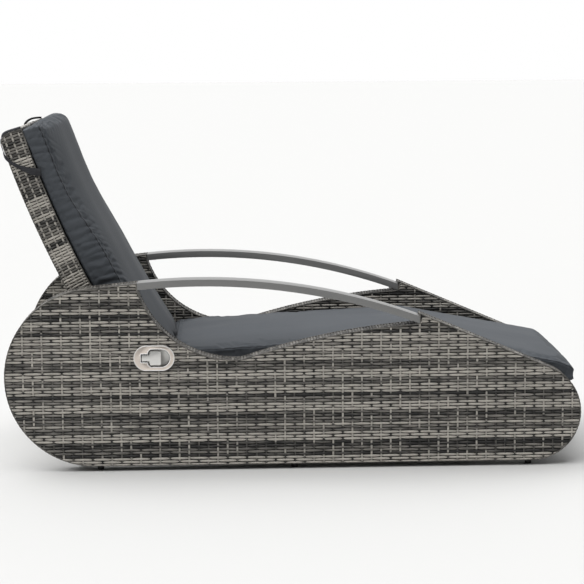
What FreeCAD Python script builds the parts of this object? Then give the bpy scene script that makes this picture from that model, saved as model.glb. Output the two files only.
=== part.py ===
import FreeCAD, Part
import math
import os
from types import SimpleNamespace

# Woven recliner lounger. Millimetres; +X towards the foot end, +Y to the sitter's left, +Z up.
# The origin is on the floor, under the middle of the side panels.

SIZES = {
    # side panels
    "length": 1700,
    "width": 750,
    "panel_thick": 60,
    "foot_height": 15,
    "head_radius": 265,
    "nose_radius": 145,
    "weave_wall": 5,
    "fit_gap": 0.3,
    "hoop_depth": 20,
    "tube_wall": 2,
    # armrests: one arc, its crown, and the two places where it enters the panel
    "arm_radius": 1850,
    "arm_depth": 20,
    "arm_crown_x": -275,
    "arm_crown_rise": 553,
    "arm_rear_x": -457,
    "arm_front_x": 369,
    "corner_lip": 9,
    "spigot_length": 45,
    "spigot_width": 40,
    "arm_screw_radius": 3,
    "arm_screw_head_radius": 5.5,
    "arm_screw_head_depth": 3,
    "arm_screw_reach": 10,
    # the scooped edge under the armrest
    "scoop_rear_radius": 300,
    "scoop_low_radius": 56,
    "scoop_front_radius": 2200,
    "scoop_low_x": -164,
    "scoop_low_rise": 314.5,
    # glide feet
    "foot_radius": 11,
    "foot_toe_radius": 9,
    "foot_stem_radius": 4,
    "foot_stem_reach": 14,
    "foot_head_margin": 275,
    "foot_mid_x": 0,
    "foot_nose_margin": 152,
    # struts in the panels and bolts
    "strut_width": 30,
    "strut_rear_x": -330,
    "strut_mid_x": 150,
    "strut_front_margin": 250,
    "bolt_radius": 4,
    "bolt_head_radius": 6.5,
    "bolt_head_depth": 5,
    "bolt_reach": 12,
    "bolt_clear": 0.1,
    # cross tubes between the panels
    "cross_tube": 20,
    "cross_flange": 5,
    "cross_flange_length": 80,
    "cross_bolt_pitch": 54,
    "head_tube_margin": 210,
    "foot_tube_margin": 290,
    # seat frame and deck
    "deck_rear_x": -430,
    "deck_knee_x": 370,
    "deck_front_margin": 35,
    "deck_rear_rise": 268,
    "deck_knee_rise": 307,
    "deck_front_rise": 223,
    "deck_thick": 6,
    "rail_width": 25,
    "rail_depth": 25,
    "seat_tube": 25,
    "mid_tube_x": -300,
    # backrest: an arc that starts at the pivot
    "pivot_x": -472,
    "pivot_rise": 252,
    "back_lean": 33.3,
    "back_radius": 2965,
    "back_thick": 70,
    "back_length": 812,
    "back_start": 45,
    "back_side_gap": 10,
    "back_corner": 16,
    "back_rail": 25,
    # hinge
    "tongue_thick": 8,
    "tongue_reach": 120,
    "tongue_radius": 15,
    "tongue_bolt_radius": 3,
    "tongue_bolt_head_radius": 5,
    "tongue_bolt_head_depth": 4,
    "tongue_bolt_first": 80,
    "tongue_bolt_second": 108,
    "ear_thick": 4,
    "ear_radius": 15,
    "hinge_gap": 0.5,
    "pin_radius": 5,
    "pin_head_radius": 8,
    "pin_head_depth": 4,
    "bush_wall": 2,
    "running_gap": 0.05,
    # gas spring and the slotted lever that works it
    "lever_radius": 82,
    "lever_thick": 6,
    "lever_half_width": 15,
    "lever_half_angle": 24,
    "slot_clear": 1.2,
    "eye_half_width": 8,
    "eye_half_height": 12,
    "eye_neck": 26,
    "end_pin_radius": 5,
    "end_pin_overhang": 2,
    "cylinder_radius": 14,
    "cylinder_wall": 3,
    "cylinder_length": 96,
    "cylinder_end": 8,
    "rod_radius": 5,
    "piston_length": 10,
    "bracket_thick": 6,
    "bracket_width": 50,
    "bracket_drop": 20,
    "lock_nut_depth": 6,
    "lock_nut_radius": 9,
    "release_head_length": 35,
    "release_head_half_width": 15,
    "release_head_half_height": 14,
    "release_arm_length": 44,
    "release_arm_width": 10,
    "release_arm_thick": 4,
    "release_pin_radius": 3,
    "cable_stop_y": 36,
    "cable_stop_thick": 6,
    "cable_radius": 2.5,
    "grommet_bore": 12,
    "grommet_radius": 15,
    "grommet_lip": 2,
    # recliner handle
    "handle_x": -411,
    "handle_rise": 323,
    "plate_length": 120,
    "plate_height": 75,
    "plate_thick": 3,
    "handle_cut_margin": 4,
    "cup_left": -18,
    "cup_right": 46,
    "cup_half_height": 26,
    "cup_depth": 26,
    "cup_wall": 1.5,
    "cup_corner": 8,
    "lever_pin_x": -34,
    "lever_pin_depth": 1.5,
    "lever_pin_radius": 1.5,
    "barrel_radius": 3.2,
    "barrel_half_height": 6,
    "stub_half_height": 8.5,
    "stub_overrun": 2,
    "slot_margin": 2.6,
    "slot_half_height": 12.2,
    "paddle_left": -14,
    "paddle_right": 20,
    "paddle_half_height": 21,
    "lug_inner": 12.3,
    "lug_thick": 3,
    "lug_depth": 5,
    "stud_x": 52,
    "stud_radius": 2,
    "clamp_thick": 2,
    "clamp_margin": 0,
    "clamp_inner_margin": 11,
    "nut_radius": 3.8,
    "nut_depth": 3.2,
    # cushions
    "pad_thick": 60,
    "pad_crown": 14,
    "pad_side_gap": 9,
    "pad_draw": 6,
    "pad_corner": 12,
    "pad_overhang": 28,
    "pad_rear_gap": 2,
    "pad_end_round": 40,
    "pad_fold_gap": 1,
    "back_pad_low": 83,
    "back_pad_high": 55,
    "back_pad_low_crown": 30,
    "back_pad_high_crown": 46,
    "back_pad_ease_low": 350,
    "back_pad_ease_high": 640,
    "back_pad_side_gap": 13,
    "back_pad_start": 4,
    "back_pad_rise": 6,
    # corner straps
    "strap_thick": 1.6,
    "strap_width": 22,
    "strap_low": 676,
    "strap_rise": 60,
}

doc = FreeCAD.newDocument("woven_recliner_lounger")
sheet = doc.addObject("Spreadsheet::Sheet", "Dims")
for row, (alias, value) in enumerate(SIZES.items(), start=1):
    sheet.set("A%d" % row, alias)
    sheet.set("B%d" % row, str(value))
    sheet.setAlias("B%d" % row, alias)
doc.recompute()
d = SimpleNamespace(**{alias: float(sheet.get(alias)) for alias in SIZES})

NODES = []
SIDES = (("right", -1), ("left", 1))


# Small helpers: sketches in the XZ plane padded along Y, boxes, cylinders, cuts and groups

def flat(x, z):
    return FreeCAD.Vector(x, z, 0)


def node(obj, label):
    obj.Label = label
    NODES.append(obj)
    return obj


def bind(obj, **expressions):
    for prop, text in expressions.items():
        obj.setExpression(prop.replace("__", "."), text)
    return obj


def polygon(points):
    ring = points + points[:1]
    return [Part.LineSegment(flat(*p), flat(*q)) for p, q in zip(ring, ring[1:])]


def arc(centre, radius, start, end):
    # an arc from one angle to another, in degrees, the short way round
    def at(angle):
        turn = math.radians(angle)
        return flat(centre[0] + radius * math.cos(turn), centre[1] + radius * math.sin(turn))
    return Part.Arc(at(start), at((start + end) / 2), at(end))


def line(p, q):
    return Part.LineSegment(flat(*p), flat(*q))


def stadium(cx, cz, half_length, half_height):
    run = half_length - half_height
    return [
        line((cx - run, cz - half_height), (cx + run, cz - half_height)),
        Part.Arc(flat(cx + run, cz - half_height), flat(cx + half_length, cz),
                 flat(cx + run, cz + half_height)),
        line((cx + run, cz + half_height), (cx - run, cz + half_height)),
        Part.Arc(flat(cx - run, cz + half_height), flat(cx - half_length, cz),
                 flat(cx - run, cz - half_height)),
    ]


def pad(name, edges, inner, outer, sign=0):
    # a sketch in the XZ plane padded from `inner` to `outer`, both measured outwards from the centre plane;
    # sign -1 is the right side, 1 the left, and 0 takes the two values as plain Y
    body = doc.addObject("PartDesign::Body", name)
    plane = [f for f in body.Origin.OriginFeatures if f.Role == "XZ_Plane"][0]
    sketch = body.newObject("Sketcher::SketchObject", name + "_sketch")
    sketch.AttachmentSupport = [(plane, "")]
    sketch.MapMode = "FlatFace"
    for edge in edges:
        sketch.addGeometry(edge)
    top = "-(%s)" % inner if sign < 0 else outer
    sketch.setExpression(".AttachmentOffset.Base.z", "-(%s)" % top)
    feature = body.newObject("PartDesign::Pad", name + "_pad")
    feature.Profile = sketch
    feature.setExpression("Length", "(%s) - (%s)" % (outer, inner))
    return body


def rod(name, radius, length, place, axis):
    # a cylinder from `place`, along +X, +Y or +Z
    turns = {"x": (FreeCAD.Vector(0, 1, 0), 90), "y": (FreeCAD.Vector(1, 0, 0), -90),
             "z": (FreeCAD.Vector(0, 0, 1), 0)}
    obj = doc.addObject("Part::Cylinder", name)
    bind(obj, Radius=radius)
    if isinstance(length, str):
        bind(obj, Height=length)
    else:
        obj.Height = length
    obj.Placement = FreeCAD.Placement(FreeCAD.Vector(*place), FreeCAD.Rotation(*turns[axis]))
    return obj


def block(name, low, high):
    obj = doc.addObject("Part::Box", name)
    obj.Length, obj.Width, obj.Height = [b - a for a, b in zip(low, high)]
    obj.Placement.Base = FreeCAD.Vector(*low)
    return obj


def group(name, objects):
    obj = doc.addObject("Part::Compound", name)
    obj.Links = objects
    return obj


def cut(name, base, tools):
    obj = doc.addObject("Part::Cut", name)
    obj.Base = base
    obj.Tool = tools[0] if len(tools) == 1 else group(name + "_tools", tools)
    return obj


def fuse(name, objects):
    obj = doc.addObject("Part::MultiFuse", name)
    obj.Shapes = objects
    return obj


# Side panel outline: tangent arcs and lines, drawn at any inset from the outer edge

HALF = "Dims.width / 2"
INNER = "Dims.width / 2 - Dims.panel_thick"
half_width = d.width / 2
inner_face = half_width - d.panel_thick
sill = d.foot_height

# Places measured from the panel's two ends
head_end_x, nose_end_x = -d.length / 2, d.length / 2
head_tube_x = head_end_x + d.head_tube_margin
foot_tube_x = nose_end_x - d.foot_tube_margin
deck_front_x = nose_end_x - d.deck_front_margin
STRUTS = {"rear": d.strut_rear_x, "mid": d.strut_mid_x, "front": nose_end_x - d.strut_front_margin}
FEET = {"head": head_end_x + d.foot_head_margin, "mid": d.foot_mid_x,
        "nose": nose_end_x - d.foot_nose_margin}


def crossing(c1, r1, c2, r2, side):
    # where two circles meet; side picks one of the two points
    vx, vz = c2[0] - c1[0], c2[1] - c1[1]
    gap = math.hypot(vx, vz)
    along = (gap * gap + r1 * r1 - r2 * r2) / (2 * gap)
    off = side * math.sqrt(r1 * r1 - along * along)
    return (c1[0] + (along * vx - off * vz) / gap, c1[1] + (along * vz + off * vx) / gap)


def arm_z(x, drop):
    crown = sill + d.arm_crown_rise
    return crown - d.arm_radius + math.sqrt((d.arm_radius - drop) ** 2 - (x - d.arm_crown_x) ** 2)


def towards(p, q):
    gap = math.hypot(q[0] - p[0], q[1] - p[1])
    return ((q[0] - p[0]) / gap, (q[1] - p[1]) / gap)


def tangent_normal(point, centre, radius, side):
    # the outward normal of the line from a point that touches a circle
    vx, vz = point[0] - centre[0], point[1] - centre[1]
    angle = math.atan2(vz, vx) + side * math.acos(radius / math.hypot(vx, vz))
    return (math.cos(angle), math.sin(angle))


head_centre = (d.head_radius - d.length / 2, sill + d.head_radius)
nose_centre = (d.length / 2 - d.nose_radius, sill + d.nose_radius)
rear_corner = (d.arm_rear_x, arm_z(d.arm_rear_x, 0))
front_corner = (d.arm_front_x, arm_z(d.arm_front_x, 0) + d.corner_lip)
ridge_normal = tangent_normal(rear_corner, head_centre, d.head_radius, 1)
slope_normal = tangent_normal(front_corner, nose_centre, d.nose_radius, -1)
low_centre = (d.scoop_low_x, sill + d.scoop_low_rise + d.scoop_low_radius)
scoop_rear = (d.arm_rear_x, arm_z(d.arm_rear_x, d.arm_depth))
scoop_front = (d.arm_front_x, arm_z(d.arm_front_x, d.arm_depth))
rear_centre = crossing(low_centre, d.scoop_rear_radius - d.scoop_low_radius, scoop_rear,
                       d.scoop_rear_radius, -1)
front_centre = crossing(low_centre, d.scoop_front_radius + d.scoop_low_radius, scoop_front,
                        d.scoop_front_radius, -1)


def on_line(corner, normal, inset, x):
    # height at x of the line through a corner, moved inwards
    return corner[1] - (normal[0] * (x - corner[0]) + inset) / normal[1]


def polar(p, centre):
    return math.degrees(math.atan2(p[1] - centre[1], p[0] - centre[0]))


def panel_outline(inset):
    floor = sill + inset
    head_r = d.head_radius - inset
    nose_r = d.nose_radius - inset
    rear_r = d.scoop_rear_radius + inset
    front_r = d.scoop_front_radius - inset
    low_r = d.scoop_low_radius + inset
    nose_end = (nose_centre[0] + nose_r * slope_normal[0], nose_centre[1] + nose_r * slope_normal[1])
    head_end = (head_centre[0] + head_r * ridge_normal[0], head_centre[1] + head_r * ridge_normal[1])
    to_low = towards(front_centre, low_centre)
    front_join = (front_centre[0] + front_r * to_low[0], front_centre[1] + front_r * to_low[1])
    past_low = towards(rear_centre, low_centre)
    rear_join = (rear_centre[0] + rear_r * past_low[0], rear_centre[1] + rear_r * past_low[1])

    front_x = d.arm_front_x + inset
    front_top = (front_x, on_line(front_corner, slope_normal, inset, front_x))
    front_foot = (front_x, front_centre[1] + math.sqrt(front_r ** 2 - (front_x - front_centre[0]) ** 2))

    rear_x = d.arm_rear_x - inset
    rear_top = (rear_x, on_line(rear_corner, ridge_normal, inset, rear_x))
    reach = rear_r ** 2 - (rear_x - rear_centre[0]) ** 2
    rear_foot = (rear_x, rear_centre[1] - math.sqrt(max(reach, 0)))
    if rear_foot[1] > rear_top[1] - d.tube_wall:
        # deep insets: the ridge line and the scoop meet in a point
        rear_foot = rear_top = meet_ridge(rear_r, inset)

    edges = [
        line((head_centre[0], floor), (nose_centre[0], floor)),
        arc(nose_centre, nose_r, -90, polar(nose_end, nose_centre)),
        line(nose_end, front_top),
        line(front_top, front_foot),
        arc(front_centre, front_r, polar(front_foot, front_centre), polar(front_join, front_centre)),
        arc(low_centre, low_r, polar(front_join, low_centre), polar(rear_join, low_centre)),
        arc(rear_centre, rear_r, polar(rear_join, rear_centre), polar(rear_foot, rear_centre) % 360 - 360),
    ]
    if rear_foot != rear_top:
        edges.append(line(rear_foot, rear_top))
    edges.append(line(rear_top, head_end))
    edges.append(arc(head_centre, head_r, polar(head_end, head_centre), 270))
    return edges


def meet_ridge(radius, inset):
    # where the inset ridge line meets the rear scoop circle
    nx, nz = ridge_normal
    reach = nx * (rear_corner[0] - rear_centre[0]) + nz * (rear_corner[1] - rear_centre[1]) - inset
    along = math.sqrt(radius ** 2 - reach ** 2)
    return (rear_centre[0] + reach * nx - along * nz, rear_centre[1] + reach * nz + along * nx)


# Armrest arcs: a band between two drops below the top surface

def arm_band(top, bottom, x_rear, x_front):
    centre = (d.arm_crown_x, sill + d.arm_crown_rise - d.arm_radius)
    corners = [(x, arm_z(x, drop)) for x, drop in
               ((x_rear, bottom), (x_front, bottom), (x_front, top), (x_rear, top))]
    angles = [polar(p, centre) for p in corners]
    return [
        arc(centre, d.arm_radius - bottom, angles[0], angles[1]),
        line(corners[1], corners[2]),
        arc(centre, d.arm_radius - top, angles[2], angles[3]),
        line(corners[3], corners[0]),
    ]


# Seat line: height of the deck's top face, rising to the knee and falling to the foot end

DECK_POINTS = [
    (d.deck_rear_x, sill + d.deck_rear_rise),
    (d.deck_knee_x, sill + d.deck_knee_rise),
    (deck_front_x, sill + d.deck_front_rise),
]


def deck_z(x):
    first = 0 if x <= d.deck_knee_x else 1
    (x0, z0), (x1, z1) = DECK_POINTS[first:first + 2]
    return z0 + (z1 - z0) * (x - x0) / (x1 - x0)


def under_deck(x0, x1, drop, depth):
    stations = [x0] + ([d.deck_knee_x] if x0 < d.deck_knee_x < x1 else []) + [x1]
    top = [(x, deck_z(x) - drop) for x in stations]
    return polygon(top + [(x, z - depth) for x, z in reversed(top)])


# Backrest arc: u is the distance along it from the pivot, t the depth in front of its middle

pivot = (d.pivot_x, sill + d.pivot_rise)
lean = math.radians(d.back_lean)
back_centre = (pivot[0] + d.back_radius * math.cos(lean), pivot[1] + d.back_radius * math.sin(lean))
back_front = d.back_thick / 2


def back_angle(u):
    return lean - u / d.back_radius


def back_point(u, t):
    radius = d.back_radius - t
    return (back_centre[0] - radius * math.cos(back_angle(u)),
            back_centre[1] - radius * math.sin(back_angle(u)))


def back_band(u0, u1, t0, t1):
    a0, a1 = [180 + math.degrees(back_angle(u)) for u in (u0, u1)]
    return [
        arc(back_centre, d.back_radius - t0, a0, a1),
        line(back_point(u1, t0), back_point(u1, t1)),
        arc(back_centre, d.back_radius - t1, a1, a0),
        line(back_point(u0, t1), back_point(u0, t0)),
    ]


def back_casing(u0, inset):
    # the backrest's side view, with its rear top corner cut off
    t_rear, t_front = inset - back_front, back_front - inset
    top, corner = d.back_length - inset, d.back_corner
    a0, a_top = [180 + math.degrees(back_angle(u)) for u in (u0, top)]
    a_corner = 180 + math.degrees(back_angle(top - corner))
    return [
        arc(back_centre, d.back_radius - t_rear, a0, a_corner),
        line(back_point(top - corner, t_rear), back_point(top, t_rear + corner)),
        line(back_point(top, t_rear + corner), back_point(top, t_front)),
        arc(back_centre, d.back_radius - t_front, a_top, a0),
        line(back_point(u0, t_front), back_point(u0, t_rear)),
    ]


# Gas spring line: the end pin travels straight along X while the lever's radial slot swings past it

half_swing = math.radians(d.lever_half_angle)
spring_z = pivot[1] - d.lever_radius * math.cos(half_swing)
end_pin_x = pivot[0] - d.lever_radius * math.sin(half_swing)
eye_front = end_pin_x + d.eye_neck
cylinder_front = eye_front + d.cylinder_length
bracket_rear = d.mid_tube_x - d.bracket_thick / 2
head_rear = bracket_rear + d.bracket_thick

handle_z = sill + d.handle_rise
plate_back = -half_width
skin_inset = d.weave_wall + d.fit_gap

head_front = head_rear + d.release_head_length
arm_pivot_x = head_rear + d.release_head_length / 2
arm_low = spring_z + d.release_head_half_height + d.fit_gap
arm_tip_x = arm_pivot_x + d.release_arm_length
stop_outer = -d.cable_stop_y - d.cable_stop_thick
lug_x = d.handle_x + d.lever_pin_x
cable_span = stop_outer - plate_back - 83


# Release cable: from the handle down inside the panel, out through its inner skin, on to the gas spring

CABLE_POINTS = [FreeCAD.Vector(*p) for p in (
    (lug_x - 12, plate_back + 23, handle_z),
    (d.handle_x - 89, plate_back + 25, handle_z + 1),
    (d.handle_x - 134, plate_back + 27, handle_z - 16),
    (d.handle_x - 157, plate_back + 28, handle_z - 55),
    (d.handle_x - 149, plate_back + 29, handle_z - 98),
    (d.handle_x - 114, plate_back + 31, handle_z - 128),
    (d.handle_x - 66, plate_back + 38, handle_z - 140),
    (d.handle_x - 20, plate_back + 54, spring_z + 1),
    (d.handle_x + 22, plate_back + 83, spring_z - 2),
    (arm_tip_x - 117, stop_outer - 0.84 * cable_span, spring_z - 3),
    (arm_tip_x - 84, stop_outer - 0.66 * cable_span, spring_z - 1),
    (arm_tip_x - 55, stop_outer - 0.47 * cable_span, spring_z + 4),
    (arm_tip_x - 32, stop_outer - 0.29 * cable_span, spring_z + 10),
    (arm_tip_x - 4, stop_outer - 0.14 * cable_span, arm_low + 1.5),
    (arm_tip_x - 2, stop_outer - d.fit_gap, arm_low + 2),
)]


def rounded_path(points):
    # straight runs joined by tangent arcs as large as the shorter run allows
    edges, radii, start = [], [], points[0]
    for before, corner, after in zip(points, points[1:], points[2:]):
        into, out = (before - corner), (after - corner)
        reach = 0.45 * min(into.Length, out.Length)
        turn = math.pi - into.getAngle(out)
        radii.append(reach / math.tan(turn / 2))
        into.normalize()
        out.normalize()
        first, last = corner + into * reach, corner + out * reach
        bisector = into + out
        bisector.normalize()
        depth = radii[-1] / math.cos(turn / 2) - radii[-1]
        edges.append(Part.makeLine(start, first))
        edges.append(Part.Arc(first, corner + bisector * depth, last).toShape())
        start = last
    edges.append(Part.makeLine(start, points[-1]))
    return Part.Wire(edges), radii


cable_path, cable_radii = rounded_path(CABLE_POINTS)
wall_middle = -inner_face - (d.weave_wall - d.grommet_lip) / 2
gate_point = min(cable_path.discretize(400), key=lambda p: abs(p.y - wall_middle))
CABLE_GATE = (gate_point.x, wall_middle, gate_point.z)

def rail_bolt_z(x):
    # the frame bolts go through the middle of the seat rails into the struts
    return deck_z(x) - d.deck_thick - d.rail_depth / 2


# Cross tubes at the sill are bolted to the hoop's bottom run
sill_bolt_z = sill + skin_inset + d.hoop_depth / 2
CROSS_BOLTS = [x + side * d.cross_bolt_pitch / 2 for x in (head_tube_x, foot_tube_x) for side in (-1, 1)]


def across(name, radius, x, z, inner, outer, sign):
    # a cylinder along Y between two distances from the centre plane
    y = inner if sign > 0 else -outer
    return rod(name, radius, outer - inner, (x, y, z), "y")


# Side panels

bolts = []
spigots = []
arm_screws = []
for side, sign in SIDES:
    outer_skin = pad(side + "_weave_outside", panel_outline(0), INNER, HALF, sign)
    cavity = pad(side + "_weave_cavity", panel_outline(d.weave_wall),
                 INNER + " + Dims.weave_wall", HALF + " - Dims.weave_wall", sign)
    hoop_outside = pad(side + "_hoop_outside", panel_outline(skin_inset),
                       INNER + " + Dims.weave_wall + Dims.fit_gap",
                       HALF + " - Dims.weave_wall - Dims.fit_gap", sign)
    hoop_inside = pad(side + "_hoop_inside", panel_outline(skin_inset + d.hoop_depth), INNER, HALF, sign)
    hoop = cut(side + "_hoop_bar", hoop_outside, [hoop_inside])
    tube_outside = pad(side + "_tube_outside", panel_outline(skin_inset + d.tube_wall),
                       INNER + " + Dims.weave_wall + Dims.fit_gap + Dims.tube_wall",
                       HALF + " - Dims.weave_wall - Dims.fit_gap - Dims.tube_wall", sign)
    tube_inside = pad(side + "_tube_inside", panel_outline(skin_inset + d.hoop_depth - d.tube_wall),
                      INNER, HALF, sign)
    bore = cut(side + "_hoop_bore", tube_outside, [tube_inside])

    # holes for the frame bolts, the feet and the armrest spigots
    rail_inner = inner_face - d.rail_width
    bolt_end = inner_face + skin_inset + d.bolt_reach
    weave_holes, hoop_holes, strut_holes = [cavity], [bore], []
    for key, x in STRUTS.items():
        z = rail_bolt_z(x)
        hole = across("%s_%s_hole" % (side, key), "Dims.bolt_radius + Dims.bolt_clear", x, z,
                      inner_face - 1, bolt_end + 1, sign)
        weave_holes.append(hole)
        strut_holes.append(hole)
        shank = across("%s_%s_shank" % (side, key), "Dims.bolt_radius", x, z, rail_inner, bolt_end, sign)
        head = across("%s_%s_head" % (side, key), "Dims.bolt_head_radius", x, z,
                      rail_inner - d.bolt_head_depth, rail_inner, sign)
        bolts.append(fuse("%s_%s_bolt" % (side, key), [shank, head]))
    for count, x in enumerate(CROSS_BOLTS):
        flange_inner = inner_face - d.cross_flange
        hole = across("%s_cross_hole_%d" % (side, count), "Dims.bolt_radius + Dims.bolt_clear", x,
                      sill_bolt_z,
                      inner_face - 1, bolt_end + 1, sign)
        weave_holes.append(hole)
        hoop_holes.append(hole)
        shank = across("%s_cross_shank_%d" % (side, count), "Dims.bolt_radius", x, sill_bolt_z,
                       flange_inner, bolt_end, sign)
        head = across("%s_cross_head_%d" % (side, count), "Dims.bolt_head_radius", x, sill_bolt_z,
                      flange_inner - d.bolt_head_depth, flange_inner, sign)
        bolts.append(fuse("%s_cross_bolt_%d" % (side, count), [shank, head]))
    middle = sign * (half_width - d.panel_thick / 2)
    for key, x in FEET.items():
        hole = rod("%s_%s_stem_hole" % (side, key), "Dims.foot_stem_radius + Dims.bolt_clear",
                   "Dims.foot_stem_reach + 2 * Dims.foot_height", (x, middle, 0), "z")
        weave_holes.append(hole)
        hoop_holes.append(hole)

        # glide foot: a tapered plastic button on a stem
        foot = doc.addObject("Part::Cone", "%s_%s_button" % (side, key))
        bind(foot, Radius1="Dims.foot_toe_radius", Radius2="Dims.foot_radius", Height="Dims.foot_height")
        foot.Placement.Base = FreeCAD.Vector(x, middle, 0)
        stem = rod("%s_%s_stem" % (side, key), "Dims.foot_stem_radius", "Dims.foot_stem_reach",
                   (x, middle, d.foot_height), "z")
        node(fuse("%s_%s_foot" % (side, key), [foot, stem]), "%s_%s_foot" % (side, key))

    # armrest: an open tube between the two corners, with a spigot welded to the hoop at each end
    spigot_top = d.tube_wall + d.fit_gap
    spigot_bottom = d.arm_depth - spigot_top
    mid_inner = "(%s + %s) / 2 - Dims.spigot_width / 2" % (INNER, HALF)
    mid_outer = "(%s + %s) / 2 + Dims.spigot_width / 2" % (INNER, HALF)
    ends = {
        "rear": (d.arm_rear_x - skin_inset, d.arm_rear_x + d.spigot_length),
        "front": (d.arm_front_x - d.spigot_length, d.arm_front_x + skin_inset),
    }
    arm_outside = pad(side + "_arm_outside", arm_band(0, d.arm_depth, d.arm_rear_x, d.arm_front_x),
                      INNER, HALF, sign)
    arm_bore = pad(side + "_arm_bore",
                   arm_band(d.tube_wall, d.arm_depth - d.tube_wall, d.arm_rear_x - 1, d.arm_front_x + 1),
                   INNER + " + Dims.tube_wall", HALF + " - Dims.tube_wall", sign)
    arm_holes = [arm_bore]
    for key, (x_low, x_high) in ends.items():
        window = pad("%s_%s_window" % (side, key),
                     arm_band(spigot_top - d.fit_gap, spigot_bottom + d.fit_gap, x_low, x_high),
                     mid_inner + " - Dims.fit_gap", mid_outer + " + Dims.fit_gap", sign)
        weave_holes.append(window)
        spigot = pad("%s_%s_spigot_bar" % (side, key), arm_band(spigot_top, spigot_bottom, x_low, x_high),
                     mid_inner, mid_outer, sign)
        x = d.arm_rear_x + d.spigot_length / 2 if key == "rear" else d.arm_front_x - d.spigot_length / 2
        z = arm_z(x, d.arm_depth) - d.arm_screw_head_depth
        hole = rod("%s_%s_screw_hole" % (side, key), "Dims.arm_screw_radius + Dims.bolt_clear",
                   "Dims.arm_screw_reach + Dims.arm_screw_head_depth", (x, middle, z), "z")
        arm_holes.append(hole)
        spigots.append(cut("%s_%s_spigot" % (side, key), spigot, [hole]))
        # the screw's pan head bears on the arm's curved underside, at its lowest edge
        seat = min(arm_z(x + step * d.arm_screw_head_radius, d.arm_depth) for step in (-1, 1))
        head = rod("%s_%s_screw_head" % (side, key), "Dims.arm_screw_head_radius",
                   "Dims.arm_screw_head_depth",
                   (x, middle, seat - d.arm_screw_head_depth), "z")
        shank = rod("%s_%s_screw_shank" % (side, key), "Dims.arm_screw_radius",
                    "Dims.arm_screw_reach", (x, middle, seat), "z")
        arm_screws.append(fuse("%s_%s_screw" % (side, key), [head, shank]))
    node(cut(side + "_armrest", arm_outside, arm_holes), side + "_armrest")

    if side == "right":
        # opening for the handle, and the bore of the cable grommet
        opening = pad("handle_opening",
                      stadium(d.handle_x, handle_z, d.plate_length / 2 - d.handle_cut_margin,
                                                d.plate_height / 2 - d.handle_cut_margin),
                      HALF + " - 2 * Dims.weave_wall", HALF + " + Dims.weave_wall", sign)
        weave_holes.append(opening)
        gate = across("grommet_hole", "Dims.grommet_radius", CABLE_GATE[0], CABLE_GATE[2],
                      inner_face - 1, inner_face + d.weave_wall + 1, sign)
        weave_holes.append(gate)
    node(cut(side + "_side_weave", outer_skin, weave_holes), side + "_side_weave")
    node(cut(side + "_side_frame", hoop, hoop_holes), side + "_side_frame")

    # struts stand between the hoop's lower and upper runs
    strut_room = pad(side + "_strut_room", panel_outline(skin_inset + d.hoop_depth + d.bolt_clear),
                     INNER + " + Dims.weave_wall + Dims.fit_gap",
                     HALF + " - Dims.weave_wall - Dims.fit_gap", sign)
    bars = []
    for key, x in STRUTS.items():
        low_y, high_y = sorted((sign * inner_face, sign * half_width))
        bar = block("%s_%s_bar" % (side, key), (x - d.strut_width / 2, low_y, sill),
                    (x + d.strut_width / 2, high_y, sill + d.arm_crown_rise))
        bore = block("%s_%s_bar_bore" % (side, key),
                     (x - d.strut_width / 2 + d.tube_wall, low_y + 2 * d.weave_wall, 0),
                     (x + d.strut_width / 2 - d.tube_wall, high_y - 2 * d.weave_wall, 2 * d.arm_crown_rise))
        bars.append(cut("%s_%s_tube" % (side, key), bar, [bore]))
    clipped = doc.addObject("Part::MultiCommon", side + "_struts_clipped")
    clipped.Shapes = [group(side + "_bars", bars), strut_room]
    node(cut(side + "_frame_struts", clipped, strut_holes), side + "_frame_struts")

    # seat rail along the panel's inner face
    rail = pad(side + "_rail_outside", under_deck(d.deck_rear_x, deck_front_x, d.deck_thick, d.rail_depth),
               INNER + " - Dims.rail_width", INNER, sign)
    rail_bore = pad(side + "_rail_bore",
                    under_deck(d.deck_rear_x + d.tube_wall, deck_front_x - d.tube_wall,
                               d.deck_thick + d.tube_wall, d.rail_depth - 2 * d.tube_wall),
                    INNER + " - Dims.rail_width + Dims.tube_wall", INNER + " - Dims.tube_wall", sign)
    rail_holes = [across("%s_%s_rail_hole" % (side, key), "Dims.bolt_radius + Dims.bolt_clear", x,
                         rail_bolt_z(x),
                         rail_inner - 1, inner_face + 1, sign) for key, x in STRUTS.items()]
    node(cut(side + "_seat_rail", rail, [rail_bore] + rail_holes), side + "_seat_rail")

node(group("armrest_spigots_group", spigots), "armrest_spigots")
node(group("armrest_screws_group", arm_screws), "armrest_screws")
node(group("frame_bolts_group", bolts), "frame_bolts")


# Cross tubes at the sill: a square tube with a flange at each end, bolted to the hoops

for label, x in (("head_cross_tube", head_tube_x), ("foot_cross_tube", foot_tube_x)):
    low_z, high_z = sill_bolt_z - d.cross_tube / 2, sill_bolt_z + d.cross_tube / 2
    half = d.cross_tube / 2
    tube = block(label + "_tube", (x - half, -inner_face, low_z), (x + half, inner_face, high_z))
    flanges, holes = [], []
    for side, sign in SIDES:
        low_y, high_y = sorted((sign * (inner_face - d.cross_flange), sign * inner_face))
        flanges.append(block("%s_%s_flange" % (label, side), (x - d.cross_flange_length / 2, low_y, low_z),
                             (x + d.cross_flange_length / 2, high_y, high_z)))
        for step in (-1, 1):
            holes.append(across("%s_%s_hole_%d" % (label, side, step), "Dims.bolt_radius + Dims.bolt_clear",
                                x + step * d.cross_bolt_pitch / 2, sill_bolt_z,
                                inner_face - d.cross_flange - 1, inner_face + 1, sign))
    inside = half - d.tube_wall
    bore = block(label + "_bore", (x - inside, -inner_face - 1, sill_bolt_z - inside),
                 (x + inside, inner_face + 1, sill_bolt_z + inside))
    node(cut(label, fuse(label + "_welded", [tube] + flanges), [bore] + holes), label)


# Seat cross tubes, butted between the rails just under the deck

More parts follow.
